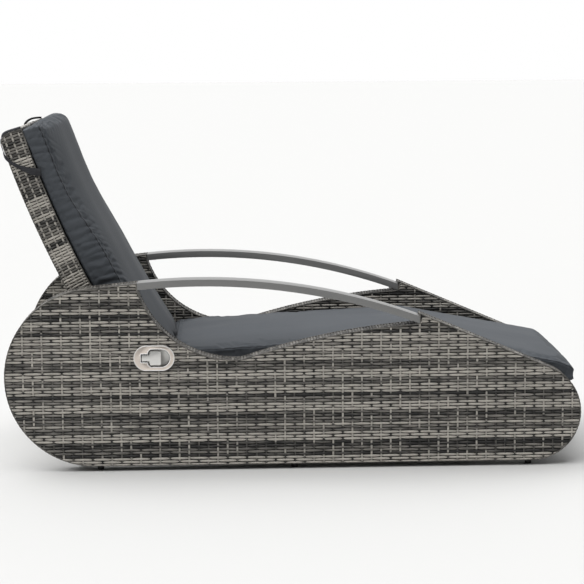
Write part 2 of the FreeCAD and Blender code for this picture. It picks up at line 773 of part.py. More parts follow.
SEAT_TUBES = {
    "seat_rear_tube": d.deck_rear_x + d.seat_tube / 2,
    "seat_mid_tube": d.mid_tube_x,
    "seat_knee_tube": d.deck_knee_x - d.seat_tube / 2,
    "seat_front_tube": deck_front_x - d.seat_tube,
}
RAIL_GAP = INNER + " - Dims.rail_width"
for label, x in SEAT_TUBES.items():
    low_x, high_x = x - d.seat_tube / 2, x + d.seat_tube / 2
    outside = pad(label + "_outside", under_deck(low_x, high_x, d.deck_thick, d.seat_tube),
                  "-(%s)" % RAIL_GAP, RAIL_GAP)
    bore = pad(label + "_bore", under_deck(low_x + d.tube_wall, high_x - d.tube_wall,
                                           d.deck_thick + d.tube_wall,
                                           d.seat_tube - 2 * d.tube_wall),
               "-(%s) - 1" % RAIL_GAP, RAIL_GAP + " + 1")
    node(cut(label, outside, [bore]), label)

DECK_HALF = INNER + " - Dims.fit_gap"
node(pad("seat_deck_plate", under_deck(d.deck_rear_x, deck_front_x, 0, d.deck_thick),
         "-(%s)" % DECK_HALF, DECK_HALF), "seat_deck_weave")


# Backrest: a woven sleeve over four rails, open at its lower end

BACK_HALF = "(Dims.width / 2 - Dims.panel_thick - Dims.back_side_gap)"
back_half = inner_face - d.back_side_gap
sleeve = pad("backrest_outside", back_casing(d.back_start, 0), "-(%s)" % BACK_HALF, BACK_HALF)
sleeve_bore = pad("backrest_cavity", back_casing(d.back_start - 1, d.weave_wall),
                  "-(%s) + Dims.weave_wall" % BACK_HALF, BACK_HALF + " - Dims.weave_wall")
node(cut("backrest_casing", sleeve, [sleeve_bore]), "backrest_weave")

rail_half = back_front - skin_inset
rail_top = d.back_length - d.weave_wall - d.back_corner
rail_outer = "%s - Dims.weave_wall - Dims.fit_gap" % BACK_HALF
rail_inner_text = rail_outer + " - Dims.back_rail"
tongue_face = back_half - skin_inset - d.back_rail
TONGUE_BOLTS = [back_point(u, 0) for u in (d.tongue_bolt_first, d.tongue_bolt_second)]
tongue_bolts = []
for side, sign in SIDES:
    bar = pad("back_%s_bar" % side, back_band(d.back_start, rail_top, -rail_half, rail_half),
              rail_inner_text, rail_outer, sign)
    bore = pad("back_%s_bore" % side,
               back_band(d.back_start + d.tube_wall, rail_top - d.tube_wall,
                         d.tube_wall - rail_half, rail_half - d.tube_wall),
               rail_inner_text + " + Dims.tube_wall", rail_outer + " - Dims.tube_wall", sign)
    holes = [across("back_%s_hole_%d" % (side, i), "Dims.tongue_bolt_radius + Dims.bolt_clear", x, z,
                    tongue_face - 1, tongue_face + d.back_rail / 2, sign) for i,
                    (x, z) in enumerate(TONGUE_BOLTS)]
    node(cut("back_%s_rail_bar" % side, bar, [bore] + holes), "backrest_%s_rail" % side)

for label, u0, u1 in (("backrest_bottom_rail", d.back_start, d.back_start + d.back_rail),
                      ("backrest_top_rail", rail_top - d.back_rail, rail_top)):
    bar = pad(label + "_outside", back_band(u0, u1, -rail_half, rail_half),
              "-(%s)" % rail_inner_text, rail_inner_text)
    bore = pad(label + "_bore", back_band(u0 + d.tube_wall, u1 - d.tube_wall,
                                          d.tube_wall - rail_half, rail_half - d.tube_wall),
               "-(%s) - 1" % rail_inner_text, rail_inner_text + " + 1")
    tools = [bore]
    if label == "backrest_bottom_rail":
        # notches where the hinge tongues lie against the side rails
        tongue_reach = tongue_face - d.tongue_thick - d.fit_gap
        for side, sign in SIDES:
            low_y, high_y = sorted((sign * tongue_reach, sign * (tongue_face + 1)))
            tools.append(block("%s_%s_notch" % (label, side),
                               (pivot[0] - d.back_thick * 4, low_y, pivot[1] - d.back_thick),
                               (pivot[0] + d.back_thick * 4, high_y, pivot[1] + d.tongue_reach)))
    node(cut(label + "_bar", bar, tools), label)


# Hinge: a tongue bolted to each side rail turns between the ears of a bracket on the seat frame

def capsule(p, q, radius):
    # two half rounds joined by straight sides
    ux, uz = towards(p, q)
    side_p = [(p[0] - s * radius * uz, p[1] + s * radius * ux) for s in (1, -1)]
    side_q = [(q[0] - s * radius * uz, q[1] + s * radius * ux) for s in (1, -1)]
    return [
        Part.Arc(flat(*side_p[0]), flat(p[0] - radius * ux, p[1] - radius * uz), flat(*side_p[1])),
        line(side_p[1], side_q[1]),
        Part.Arc(flat(*side_q[1]), flat(q[0] + radius * ux, q[1] + radius * uz), flat(*side_q[0])),
        line(side_q[0], side_p[0]),
    ]


tongue_inner = tongue_face - d.tongue_thick
ear_inner = tongue_inner - d.hinge_gap - d.ear_thick
ear_outer = tongue_face + d.hinge_gap + d.ear_thick
bracket_face = d.deck_rear_x
bushes, pins, nuts = [], [], []
for side, sign in SIDES:
    tongue = pad(side + "_tongue_bar", capsule(pivot, back_point(d.tongue_reach, 0), d.tongue_radius),
                 str(tongue_inner), str(tongue_face), sign)
    bush_hole = across(side + "_bush_hole", "Dims.pin_radius + Dims.running_gap + Dims.bush_wall + 0.02",
                       pivot[0], pivot[1], tongue_inner - 1, tongue_face + 1, sign)
    bolt_holes = [across("%s_tongue_hole_%d" % (side, i), "Dims.tongue_bolt_radius + Dims.bolt_clear", x, z,
                         tongue_inner - 1, tongue_face + 1, sign) for i, (x, z) in enumerate(TONGUE_BOLTS)]
    node(cut(side + "_tongue_plate", tongue, [bush_hole] + bolt_holes), side + "_hinge_tongue")
    for i, (x, z) in enumerate(TONGUE_BOLTS):
        shank = across("%s_tongue_shank_%d" % (side, i), "Dims.tongue_bolt_radius", x, z,
                       tongue_inner, tongue_face + d.back_rail / 3, sign)
        head = across("%s_tongue_head_%d" % (side, i), "Dims.tongue_bolt_head_radius", x, z,
                      tongue_inner - d.tongue_bolt_head_depth, tongue_inner, sign)
        tongue_bolts.append(fuse("%s_tongue_bolt_%d" % (side, i), [shank, head]))

    bush_outside = across(side + "_bush_outside", "Dims.pin_radius + Dims.running_gap + Dims.bush_wall",
                          pivot[0], pivot[1], tongue_inner, tongue_face, sign)
    bush_bore = across(side + "_bush_bore", "Dims.pin_radius + Dims.running_gap", pivot[0], pivot[1],
                       tongue_inner - 1, tongue_face + 1, sign)
    bushes.append(cut(side + "_bush", bush_outside, [bush_bore]))

    # bracket: two ears on a plate, welded to the rear seat tube
    tube_mid = deck_z(bracket_face) - d.deck_thick - d.seat_tube / 2
    ear = pad(side + "_ears", capsule(pivot, (bracket_face - d.ear_radius, tube_mid), d.ear_radius),
              str(ear_inner), str(ear_outer), sign)
    low_y, high_y = sorted((sign * ear_inner, sign * ear_outer))
    plate = block(side + "_ear_plate", (bracket_face - d.ear_thick, low_y, tube_mid - d.seat_tube / 2),
                  (bracket_face, high_y, tube_mid + d.seat_tube / 2))
    gap_low, gap_high = sorted((sign * (tongue_inner - d.hinge_gap), sign * (tongue_face + d.hinge_gap)))
    gap = block(side + "_ear_gap", (pivot[0] - 2 * d.ear_radius, gap_low, pivot[1] - 4 * d.ear_radius),
                (bracket_face - d.ear_thick, gap_high, pivot[1] + 4 * d.ear_radius))
    pin_hole = across(side + "_pin_hole", "Dims.pin_radius + 0.02", pivot[0], pivot[1],
                      ear_inner - 1, ear_outer + 1, sign)
    node(cut(side + "_bracket_cut", fuse(side + "_bracket_welded", [ear, plate]), [gap, pin_hole]),
         side + "_hinge_bracket")

    shank = across(side + "_pin_shank", "Dims.pin_radius", pivot[0], pivot[1],
                   ear_inner, ear_outer + d.pin_head_depth, sign)
    head = across(side + "_pin_head", "Dims.pin_head_radius", pivot[0], pivot[1],
                  ear_inner - d.pin_head_depth, ear_inner, sign)
    pins.append(fuse(side + "_pin", [shank, head]))
    nut = across(side + "_nut_body", "Dims.pin_head_radius", pivot[0], pivot[1],
                 ear_outer, ear_outer + d.pin_head_depth, sign)
    nut_hole = across(side + "_nut_hole", "Dims.pin_radius + 0.02", pivot[0], pivot[1],
                      ear_outer - 1, ear_outer + d.pin_head_depth + 1, sign)
    nuts.append(cut(side + "_nut", nut, [nut_hole]))

node(group("tongue_bolts_group", tongue_bolts), "tongue_bolts")
node(group("hinge_bushes_group", bushes), "hinge_bushes")
node(group("hinge_pins_group", pins), "hinge_pins")
node(group("hinge_nuts_group", nuts), "hinge_nuts")


# Slotted lever: two plates under the backrest's bottom rail, straddling the gas spring's eye

lever_down = (-math.sin(half_swing), -math.cos(half_swing))
lever_side = (math.cos(half_swing), -math.sin(half_swing))


def lever_point(along, aside):
    return (pivot[0] + along * lever_down[0] + aside * lever_side[0],
            pivot[1] + along * lever_down[1] + aside * lever_side[1])


lever_end = d.lever_radius + d.lever_half_width
shoulder = d.lever_half_width + d.slot_clear
lever_edges = polygon([
    back_point(d.back_start, -shoulder), back_point(d.back_start, shoulder),
    (pivot[0] + shoulder, pivot[1]),
    lever_point(lever_end, d.lever_half_width), lever_point(lever_end, -d.lever_half_width),
    (pivot[0] - shoulder, pivot[1]),
])
slot_high = lever_point(d.lever_radius * math.cos(half_swing) - d.slot_clear, 0)
slot_low = lever_point(d.lever_radius + d.slot_clear, 0)
plates = []
for side, sign in SIDES:
    inner = "Dims.eye_half_width + Dims.hinge_gap"
    outer = inner + " + Dims.lever_thick"
    blank = pad(side + "_lever_blank", lever_edges, inner, outer, sign)
    slot = pad(side + "_lever_slot", capsule(slot_high, slot_low, d.end_pin_radius + d.slot_clear),
               inner + " - 1", outer + " + 1", sign)
    plates.append(cut(side + "_lever_plate", blank, [slot]))
node(group("backrest_lever_group", plates), "backrest_lever")


# Gas spring: the cylinder slides on a fixed rod; its eye pin runs in the lever's slots

pin_reach = d.eye_half_width + d.hinge_gap + d.lever_thick + d.end_pin_overhang
eye = block("spring_eye", (end_pin_x - d.eye_half_height, -d.eye_half_width, spring_z - d.eye_half_height),
            (eye_front, d.eye_half_width, spring_z + d.eye_half_height))
barrel = rod("spring_barrel", "Dims.cylinder_radius", "Dims.cylinder_length", (eye_front, 0, spring_z), "x")
chamber = rod("spring_chamber", "Dims.cylinder_radius - Dims.cylinder_wall",
              "Dims.cylinder_length - 2 * Dims.cylinder_end", (eye_front + d.cylinder_end, 0, spring_z),
              "x")
gland = rod("spring_gland", "Dims.rod_radius + Dims.running_gap", "2 * Dims.cylinder_end",
            (cylinder_front - 1.5 * d.cylinder_end, 0, spring_z), "x")
eye_hole = rod("spring_eye_hole", "Dims.end_pin_radius", 2 * pin_reach,
               (end_pin_x, -pin_reach, spring_z), "y")
node(cut("spring_cylinder_cut", fuse("spring_cylinder", [eye, barrel]), [chamber, gland, eye_hole]),
     "gas_cylinder")
end_pin = rod("spring_end_pin", "Dims.end_pin_radius", 2 * pin_reach, (end_pin_x, -pin_reach, spring_z),
              "y")
node(end_pin, "gas_spring_pin")

piston_rear = cylinder_front - d.cylinder_end - d.slot_clear - d.piston_length
piston = rod("spring_piston", "Dims.cylinder_radius - Dims.cylinder_wall - Dims.running_gap",
             "Dims.piston_length",
             (piston_rear, 0, spring_z), "x")
shaft_length = head_rear + d.release_head_length / 2 - piston_rear
shaft = rod("spring_shaft", "Dims.rod_radius", shaft_length, (piston_rear, 0, spring_z), "x")
node(fuse("spring_rod", [piston, shaft]), "gas_rod")

nut_body = rod("rod_nut_body", "Dims.lock_nut_radius", "Dims.lock_nut_depth",
               (bracket_rear - d.lock_nut_depth, 0, spring_z), "x")
nut_bore = rod("rod_nut_bore", "Dims.rod_radius", "3 * Dims.lock_nut_depth",
               (bracket_rear - 2 * d.lock_nut_depth, 0, spring_z), "x")
node(cut("rod_nut", nut_body, [nut_bore]), "rod_lock_nut")

tube_bottom = min(deck_z(d.mid_tube_x + s * d.seat_tube / 2) for s in (-1, 1)) - d.deck_thick - d.seat_tube
web = block("bracket_web", (bracket_rear, -d.bracket_width / 2, spring_z - d.bracket_drop),
            (head_rear, d.bracket_width / 2, tube_bottom))
foot_plate = block("bracket_top", (d.mid_tube_x - d.seat_tube / 2, -d.bracket_width / 2,
                                   tube_bottom - d.bracket_thick),
                   (d.mid_tube_x + d.seat_tube / 2, d.bracket_width / 2, tube_bottom))
web_hole = rod("bracket_hole", "Dims.rod_radius", "3 * Dims.bracket_thick",
               (bracket_rear - d.bracket_thick, 0, spring_z), "x")
node(cut("bracket_drilled", fuse("bracket_welded", [web, foot_plate]), [web_hole]), "gas_spring_bracket")

block_head = block("release_block",
                   (head_rear, -d.release_head_half_width, spring_z - d.release_head_half_height),
                   (head_front, d.release_head_half_width, spring_z + d.release_head_half_height))
stop_link = block("release_link", (head_front - d.release_arm_width, stop_outer, spring_z),
                  (head_front, 0, spring_z + d.release_head_half_height))
stop_tab = block("release_tab", (head_front - d.release_arm_width, stop_outer, spring_z),
                 (arm_tip_x + d.release_arm_width / 2, -d.cable_stop_y, arm_low + 2 * d.release_arm_thick))
rod_socket = rod("release_socket", "Dims.rod_radius", 1 + d.release_head_length / 2,
                 (head_rear - 1, 0, spring_z), "x")
pin_socket = rod("release_pin_socket", "Dims.release_pin_radius", "Dims.release_head_half_height",
                 (arm_pivot_x, d.release_head_half_width / 2,
                  spring_z + d.release_head_half_height / 2), "z")
node(cut("release_head_cut", fuse("release_head_body", [block_head, stop_link, stop_tab]),
         [rod_socket, pin_socket]),
     "release_head")

half_arm = d.release_arm_width / 2
arm_y = d.release_head_half_width / 2
arm_bar = block("release_bar", (arm_pivot_x - half_arm, arm_y - half_arm, arm_low),
                (arm_tip_x, arm_y + half_arm, arm_low + d.release_arm_thick))
arm_hole = rod("release_bar_hole", "Dims.release_pin_radius + Dims.running_gap",
               "4 * Dims.release_arm_thick",
               (arm_pivot_x, arm_y, arm_low - d.release_arm_thick), "z")
node(cut("release_arm_bar", arm_bar, [arm_hole]), "release_arm")
stem_length = d.release_head_half_height / 2 + 2 * d.fit_gap + d.release_arm_thick
pin_stem = rod("release_pin_stem", "Dims.release_pin_radius", stem_length,
               (arm_pivot_x, arm_y, spring_z + d.release_head_half_height / 2), "z")
pin_cap = rod("release_pin_cap", "2 * Dims.release_pin_radius", "Dims.release_pin_radius",
              (arm_pivot_x, arm_y, arm_low + d.release_arm_thick + d.fit_gap), "z")
node(fuse("release_pin_body", [pin_stem, pin_cap]), "release_pin")


# Recliner handle on the right panel: bezel plate, finger cup, pull lever and what clamps them

def handle_xz(x, z):
    return (d.handle_x + x, handle_z + z)


def cup_opening(grow):
    # the finger opening: rounded at the lever side, nearly half round at the other
    left, right, half = d.cup_left - grow, d.cup_right + grow, d.cup_half_height + grow
    soft = d.cup_corner
    return [
        line(handle_xz(left + soft, -half), handle_xz(right - half, -half)),
        Part.Arc(flat(*handle_xz(right - half, -half)), flat(*handle_xz(right, 0)),
                 flat(*handle_xz(right - half, half))),
        line(handle_xz(right - half, half), handle_xz(left + soft, half)),
        line(handle_xz(left + soft, half), handle_xz(left, half - soft)),
        line(handle_xz(left, half - soft), handle_xz(left, soft - half)),
        line(handle_xz(left, soft - half), handle_xz(left + soft, -half)),
    ]


plate_front = HALF + " + Dims.plate_thick"
bezel = pad("bezel_blank", stadium(d.handle_x, handle_z, d.plate_length / 2, d.plate_height / 2), HALF,
            plate_front, -1)
finger_hole = pad("bezel_finger_hole", cup_opening(0), HALF + " - 1", plate_front + " + 1", -1)
slot_left = d.lever_pin_x - d.stub_overrun - d.slot_margin
stub_slot = pad("bezel_stub_slot", polygon([handle_xz(slot_left, -d.slot_half_height),
                                            handle_xz(d.cup_left + 1, -d.slot_half_height),
                                            handle_xz(d.cup_left + 1, d.slot_half_height),
                                            handle_xz(slot_left, d.slot_half_height)]),
                HALF + " - 1", plate_front + " + 1", -1)
pin_y = plate_back + d.lever_pin_depth
lugs = []
for step in (-1, 1):
    low_z, high_z = sorted((handle_z + step * d.lug_inner, handle_z + step * (d.lug_inner + d.lug_thick)))
    lugs.append(block("lug_%d" % step, (lug_x - d.lug_depth, plate_back, low_z),
                      (lug_x + d.lug_depth, plate_back + d.lug_depth, high_z)))
studs = []
stud_inner = half_width - d.weave_wall - d.clamp_thick - d.nut_depth
for step in (-1, 1):
    x = d.handle_x + step * d.stud_x
    studs.append(across("stud_%d" % step, "Dims.stud_radius", x, handle_z, stud_inner, half_width, -1))
pin_low = handle_z - d.lug_inner - d.lug_thick
lug_span = 2 * (d.lug_inner + d.lug_thick)
lug_hole = rod("lug_hole", "Dims.lever_pin_radius", lug_span + 2, (lug_x, pin_y, pin_low - 1), "z")
bezel_cut = cut("bezel_cut", bezel, [finger_hole, stub_slot])
node(cut("bezel_drilled", fuse("bezel_body", [bezel_cut] + lugs + studs), [lug_hole]), "handle_plate")

cup_back = HALF + " - Dims.cup_depth"
cup_shell = pad("cup_shell", cup_opening(d.cup_wall), cup_back, HALF, -1)
cup_room = pad("cup_room", cup_opening(0), cup_back + " + Dims.cup_wall", HALF + " + 1", -1)
node(cut("cup_hollow", cup_shell, [cup_room]), "handle_cup")

stub_left = d.lever_pin_x - d.stub_overrun
lever_face = pad("pull_face", polygon([
    handle_xz(stub_left, -d.stub_half_height), handle_xz(d.paddle_left, -d.stub_half_height),
    handle_xz(d.paddle_left + d.slot_margin, -d.paddle_half_height),
    handle_xz(d.paddle_right - d.slot_margin, -d.paddle_half_height),
    handle_xz(d.paddle_right, d.slot_margin - d.paddle_half_height),
    handle_xz(d.paddle_right, d.paddle_half_height - d.slot_margin),
    handle_xz(d.paddle_right - d.slot_margin, d.paddle_half_height),
    handle_xz(d.paddle_left + d.slot_margin, d.paddle_half_height),
    handle_xz(d.paddle_left, d.stub_half_height), handle_xz(stub_left, d.stub_half_height),
]), HALF + " + Dims.fit_gap", plate_front, -1)
barrel_low = handle_z - d.barrel_half_height
lever_barrel = rod("pull_barrel", "Dims.barrel_radius", "2 * Dims.barrel_half_height",
                   (lug_x, pin_y, barrel_low), "z")
tail = block("pull_tail", (lug_x - d.barrel_radius / 2, pin_y, barrel_low),
             (lug_x + d.barrel_radius / 2, plate_back + d.cup_depth - d.barrel_radius,
              barrel_low + d.barrel_half_height))
lever_bore = rod("pull_bore", "Dims.lever_pin_radius + Dims.running_gap", "4 * Dims.barrel_half_height",
                 (lug_x, pin_y, handle_z - 2 * d.barrel_half_height), "z")
node(cut("pull_drilled", fuse("pull_body", [lever_face, lever_barrel, tail]), [lever_bore]), "handle_lever")
node(rod("pull_pin", "Dims.lever_pin_radius", lug_span, (lug_x, pin_y, pin_low), "z"), "handle_lever_pin")
coil_low = handle_z + d.stub_half_height + d.fit_gap
coil = rod("pull_coil", "Dims.barrel_radius - Dims.running_gap",
           "Dims.lug_inner - Dims.stub_half_height - 2 * Dims.fit_gap",
           (lug_x, pin_y, coil_low), "z")
coil_bore = rod("pull_coil_bore", "Dims.lever_pin_radius + Dims.running_gap", "Dims.lug_inner",
                (lug_x, pin_y, coil_low - 1), "z")
node(cut("pull_spring", coil, [coil_bore]), "handle_spring")

clamp_outer = stadium(d.handle_x, handle_z, d.plate_length / 2 + d.clamp_margin,
                      d.plate_height / 2 + d.clamp_margin)
clamp_inner = stadium(d.handle_x, handle_z, d.plate_length / 2 - d.clamp_inner_margin,
                      d.plate_height / 2 - d.clamp_inner_margin + d.stud_radius)
CLAMP_IN = HALF + " - Dims.weave_wall - Dims.clamp_thick"
CLAMP_OUT = HALF + " - Dims.weave_wall"
clamp_blank = pad("clamp_blank", clamp_outer, CLAMP_IN, CLAMP_OUT, -1)
clamp_hole = pad("clamp_hole", clamp_inner, CLAMP_IN + " - 1", CLAMP_OUT + " + 1", -1)
stud_holes, clamp_nuts = [], []
for step in (-1, 1):
    x = d.handle_x + step * d.stud_x
    stud_holes.append(across("clamp_stud_hole_%d" % step, "Dims.stud_radius + Dims.bolt_clear", x, handle_z,
                             stud_inner - 1, half_width, -1))
    body = across("clamp_nut_body_%d" % step, "Dims.nut_radius", x, handle_z, stud_inner,
                  stud_inner + d.nut_depth, -1)
    clamp_nuts.append(cut("clamp_nut_%d" % step, body, [stud_holes[-1]]))
node(cut("clamp_ring", clamp_blank, [clamp_hole] + stud_holes), "handle_clamp_ring")
node(group("handle_nuts_group", clamp_nuts), "handle_nuts")


# Grommet in the panel's inner skin, and the release cable through it

lip = d.grommet_lip
sleeve_body = across("grommet_sleeve", "Dims.grommet_radius", CABLE_GATE[0], CABLE_GATE[2],
                     inner_face, inner_face + d.weave_wall, -1)
lip_body = across("grommet_lip", "Dims.grommet_radius + Dims.grommet_lip", CABLE_GATE[0], CABLE_GATE[2],
                  inner_face - lip, inner_face, -1)
grommet_bore = across("grommet_bore", "Dims.grommet_bore", CABLE_GATE[0], CABLE_GATE[2],
                      inner_face - lip - 1, inner_face + d.weave_wall + 1, -1)
node(cut("grommet_body", fuse("grommet_solid", [sleeve_body, lip_body]), [grommet_bore]), "cable_grommet")

first_run = CABLE_POINTS[1] - CABLE_POINTS[0]
section = Part.Wire(Part.makeCircle(d.cable_radius, CABLE_POINTS[0], first_run))
cable = doc.addObject("Part::Feature", "cable_tube")
cable.Shape = cable_path.makePipeShell([section], True, False)
node(cable, "release_cable")
print("cable radii", [round(r) for r in cable_radii])
print("cable volume share",
      round(cable.Shape.Volume / (math.pi * d.cable_radius ** 2 * cable_path.Length), 4))


# Cushions: lofts through sections with a flat underside, drawn-in sides and a crowned top

def pad_section(place, half, low, high, crown, corner):
    # place turns (across, height) into a point; corners are eased by arcs, the top is one arc
    ease = min(corner, (high - low) / 3)
    k = ease * (1 - math.sqrt(0.5))
    points = {
        "bottom": ((ease - half, low), (half - ease, low)),
        "right_low": ((half - ease, low), (half - k, low + k), (half, low + ease)),
        "right": ((half, low + ease), (half, high - ease)),
        "right_high": ((half, high - ease), (half - k, high - k), (half - ease, high)),
        "top": ((half - ease, high), (0, high + crown), (ease - half, high)),
        "left_high": ((ease - half, high), (k - half, high - k), (-half, high - ease)),
        "left": ((-half, high - ease), (-half, low + ease)),
        "left_low": ((-half, low + ease), (k - half, low + k), (ease - half, low)),
    }
    edges = []
    for ring in points.values():
        corners = [FreeCAD.Vector(*place(*p)) for p in ring]
        edges.append(Part.makeLine(*corners) if len(corners) == 2 else Part.Arc(*corners).toShape())
    return Part.Wire(edges)


def drawn_in(side_gap, share):
    # half width at a share of the way from corner to corner
    return inner_face - side_gap - d.pad_draw * math.sin(math.pi * share)


pad_front = deck_front_x + d.pad_overhang
fold_slope = math.tan(lean)


def fold_z(x):
    # underside of the back cushion's lower end, where the seat cushion is bevelled to meet it
    return pivot[1] + (x - pivot[0]) * fold_slope - d.pad_fold_gap


bevel_top = (deck_z(0) - fold_z(0) + d.pad_thick) / (fold_slope - (deck_z(1) - deck_z(0)))
foot_end = pad_front - d.pad_end_round
EDGE_LOSS = {pad_front - d.pad_end_round / 3: (5, 2), pad_front: (20, 10)}
SEAT_STATIONS = [d.deck_rear_x + d.pad_rear_gap, bevel_top]
SEAT_STATIONS += [bevel_top + share * (d.deck_knee_x - bevel_top) for share in (0.25, 0.5, 0.75)]
SEAT_STATIONS += [d.deck_knee_x + share * (foot_end - d.deck_knee_x) for share in (0, 0.35, 0.7, 1)]
SEAT_STATIONS += list(EDGE_LOSS)
CROWN_SHARE = {SEAT_STATIONS[0]: 0.04, bevel_top: 0.2, pad_front: 0.5}
seat_wires = []
for x in SEAT_STATIONS:
    top_loss, low_gain = EDGE_LOSS.get(x, (0, 0))
    low = deck_z(x) + d.fit_gap + low_gain
    high = min(deck_z(x) + d.pad_thick, fold_z(x)) - top_loss
    share = (x - SEAT_STATIONS[0]) / (pad_front - SEAT_STATIONS[0])
    crown = d.pad_crown * CROWN_SHARE.get(x, 1)
    seat_wires.append(pad_section(lambda y, z, x=x: (x, y, z), drawn_in(d.pad_side_gap, share), low, high,
                                  crown, d.pad_corner))
seat_pad = doc.addObject("Part::Feature", "seat_pad_loft")
seat_pad.Shape = Part.makeLoft(seat_wires, True, True)
node(seat_pad, "seat_cushion")

back_pad_top = d.back_length + d.back_pad_rise
BACK_LOSS = {d.back_pad_start: 4, back_pad_top - 8: 4, back_pad_top: 14}
BACK_STATIONS = [d.back_pad_start, 40, 160, 290, 370, 440, 510, 580, 650, 720, back_pad_top - 30]
BACK_STATIONS += [back_pad_top - 8, back_pad_top]
back_wires = []
for u in BACK_STATIONS:
    share = (u - d.back_pad_start) / (back_pad_top - d.back_pad_start)
    ease = min(max((u - d.back_pad_ease_low) / (d.back_pad_ease_high - d.back_pad_ease_low), 0), 1)
    ease = ease * ease * (3 - 2 * ease)
    thick = d.back_pad_low + (d.back_pad_high - d.back_pad_low) * ease - BACK_LOSS.get(u, 0)
    crown = d.back_pad_low_crown + (d.back_pad_high_crown - d.back_pad_low_crown) * ease
    crown *= 0.45 if u == back_pad_top else 1

    def on_back(y, t, u=u):
        x, z = back_point(u, back_front + t)
        return (x, y, z)

    back_wires.append(pad_section(on_back, drawn_in(d.back_pad_side_gap, share), d.fit_gap, thick,
                                  crown, d.pad_corner))
back_pad = doc.addObject("Part::Feature", "back_pad_loft")
back_pad.Shape = Part.makeLoft(back_wires, True, True)
node(back_pad, "back_cushion")


# Corner straps: a band from the cushion across the backrest's side, up behind it and over its top corner

strap_rear = -back_front - d.fit_gap
straps = []
for side, sign in SIDES:
    face = BACK_HALF + " + Dims.fit_gap"
    low, high = d.strap_low, d.strap_low + d.strap_rise
    band = pad(side + "_strap_side", polygon([
        back_point(low, back_front), back_point(low + d.strap_width, back_front),
        back_point(high + d.strap_width, strap_rear - d.strap_thick),
        back_point(high, strap_rear - d.strap_thick)]),
        face, face + " + Dims.strap_thick", sign)
    behind = pad(side + "_strap_behind",
                 back_band(high, d.back_length - d.back_corner, strap_rear - d.strap_thick, strap_rear),
                 BACK_HALF + " - Dims.strap_width", face + " + Dims.strap_thick", sign)
    straps.append(fuse(side + "_strap", [band, behind]))
node(group("corner_straps_group", straps), "corner_straps")


# Check every object, then write one file per piece

doc.recompute()
failed = [obj.Name for obj in doc.Objects if "Invalid" in obj.State or "Error" in obj.State]
failed += [obj.Label for obj in NODES if obj.Shape.isNull() or not obj.Shape.isValid() or not obj.Shape.Solids]
if failed:
    raise RuntimeError("failed objects: %s" % ", ".join(failed))
os.makedirs("parts", exist_ok=True)
for obj in NODES:
    obj.Shape.exportStep("parts/%s.step" % obj.Label)
print(len(NODES), "pieces")
for obj in NODES:
    print(obj.Label, len(obj.Shape.Solids), round(obj.Shape.Volume / 1000, 1))
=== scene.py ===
import math
import random

import bmesh
import bpy
from mathutils import Matrix, Vector, noise
from mathutils.bvhtree import BVHTree
from mathutils.kdtree import KDTree


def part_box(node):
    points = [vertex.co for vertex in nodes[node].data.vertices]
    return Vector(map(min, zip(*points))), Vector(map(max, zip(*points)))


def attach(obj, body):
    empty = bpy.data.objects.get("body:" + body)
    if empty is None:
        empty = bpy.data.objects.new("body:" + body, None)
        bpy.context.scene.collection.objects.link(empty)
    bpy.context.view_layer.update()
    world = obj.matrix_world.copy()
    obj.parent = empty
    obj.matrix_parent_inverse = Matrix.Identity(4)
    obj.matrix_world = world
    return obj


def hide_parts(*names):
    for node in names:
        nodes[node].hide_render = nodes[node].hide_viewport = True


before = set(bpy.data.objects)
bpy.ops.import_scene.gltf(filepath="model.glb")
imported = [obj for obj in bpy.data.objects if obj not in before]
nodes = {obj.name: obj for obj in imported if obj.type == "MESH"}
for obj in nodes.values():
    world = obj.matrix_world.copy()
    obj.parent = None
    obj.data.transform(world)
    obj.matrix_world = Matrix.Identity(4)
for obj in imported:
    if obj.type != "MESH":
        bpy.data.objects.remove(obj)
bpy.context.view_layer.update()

MM = 0.001


# Frame tubes, struts and brackets
# Welded aluminium tube under a satin powder coat. They carry the skins and hide inside them,
# so only the seat frame, the sill tubes and the hinge show, from behind and from below.

FRAME_NODES = [
    "right_side_frame", "left_side_frame", "right_frame_struts", "left_frame_struts", "armrest_spigots",
    "head_cross_tube", "foot_cross_tube", "right_seat_rail", "left_seat_rail", "seat_rear_tube",
    "seat_mid_tube", "seat_knee_tube", "seat_front_tube", "backrest_right_rail", "backrest_left_rail",
    "backrest_top_rail", "backrest_bottom_rail", "backrest_lever", "right_hinge_tongue",
    "left_hinge_tongue", "right_hinge_bracket", "left_hinge_bracket", "gas_spring_bracket", "release_head",
]


def linear(hex_colour):
    # sRGB hex to linear RGBA
    parts = [int(hex_colour[i:i + 2], 16) / 255 for i in (1, 3, 5)]
    return tuple(c / 12.92 if c <= 0.04045 else ((c + 0.055) / 1.055) ** 2.4 for c in parts) + (1.0,)


def add(tree, kind, inputs=(), **settings):
    # one node with its settings; an input is a value, or a link given as (node, output)
    made = tree.nodes.new("ShaderNode" + kind)
    for name, value in settings.items():
        setattr(made, name, value)
    for key, value in dict(inputs).items():
        if isinstance(value, tuple) and isinstance(value[0], bpy.types.Node):
            tree.links.new(value[0].outputs[value[1]], made.inputs[key])
        else:
            made.inputs[key].default_value = value
    return made


def start_material(name, **sockets):
    # a principled material; sockets that are the same all over are set on the shader itself
    material = bpy.data.materials.new(name)
    material.use_nodes = True
    tree = material.node_tree
    shader = tree.nodes["Principled BSDF"]
    for key, value in sockets.items():
        shader.inputs[key.replace("_", " ")].default_value = value
    return material, tree, shader


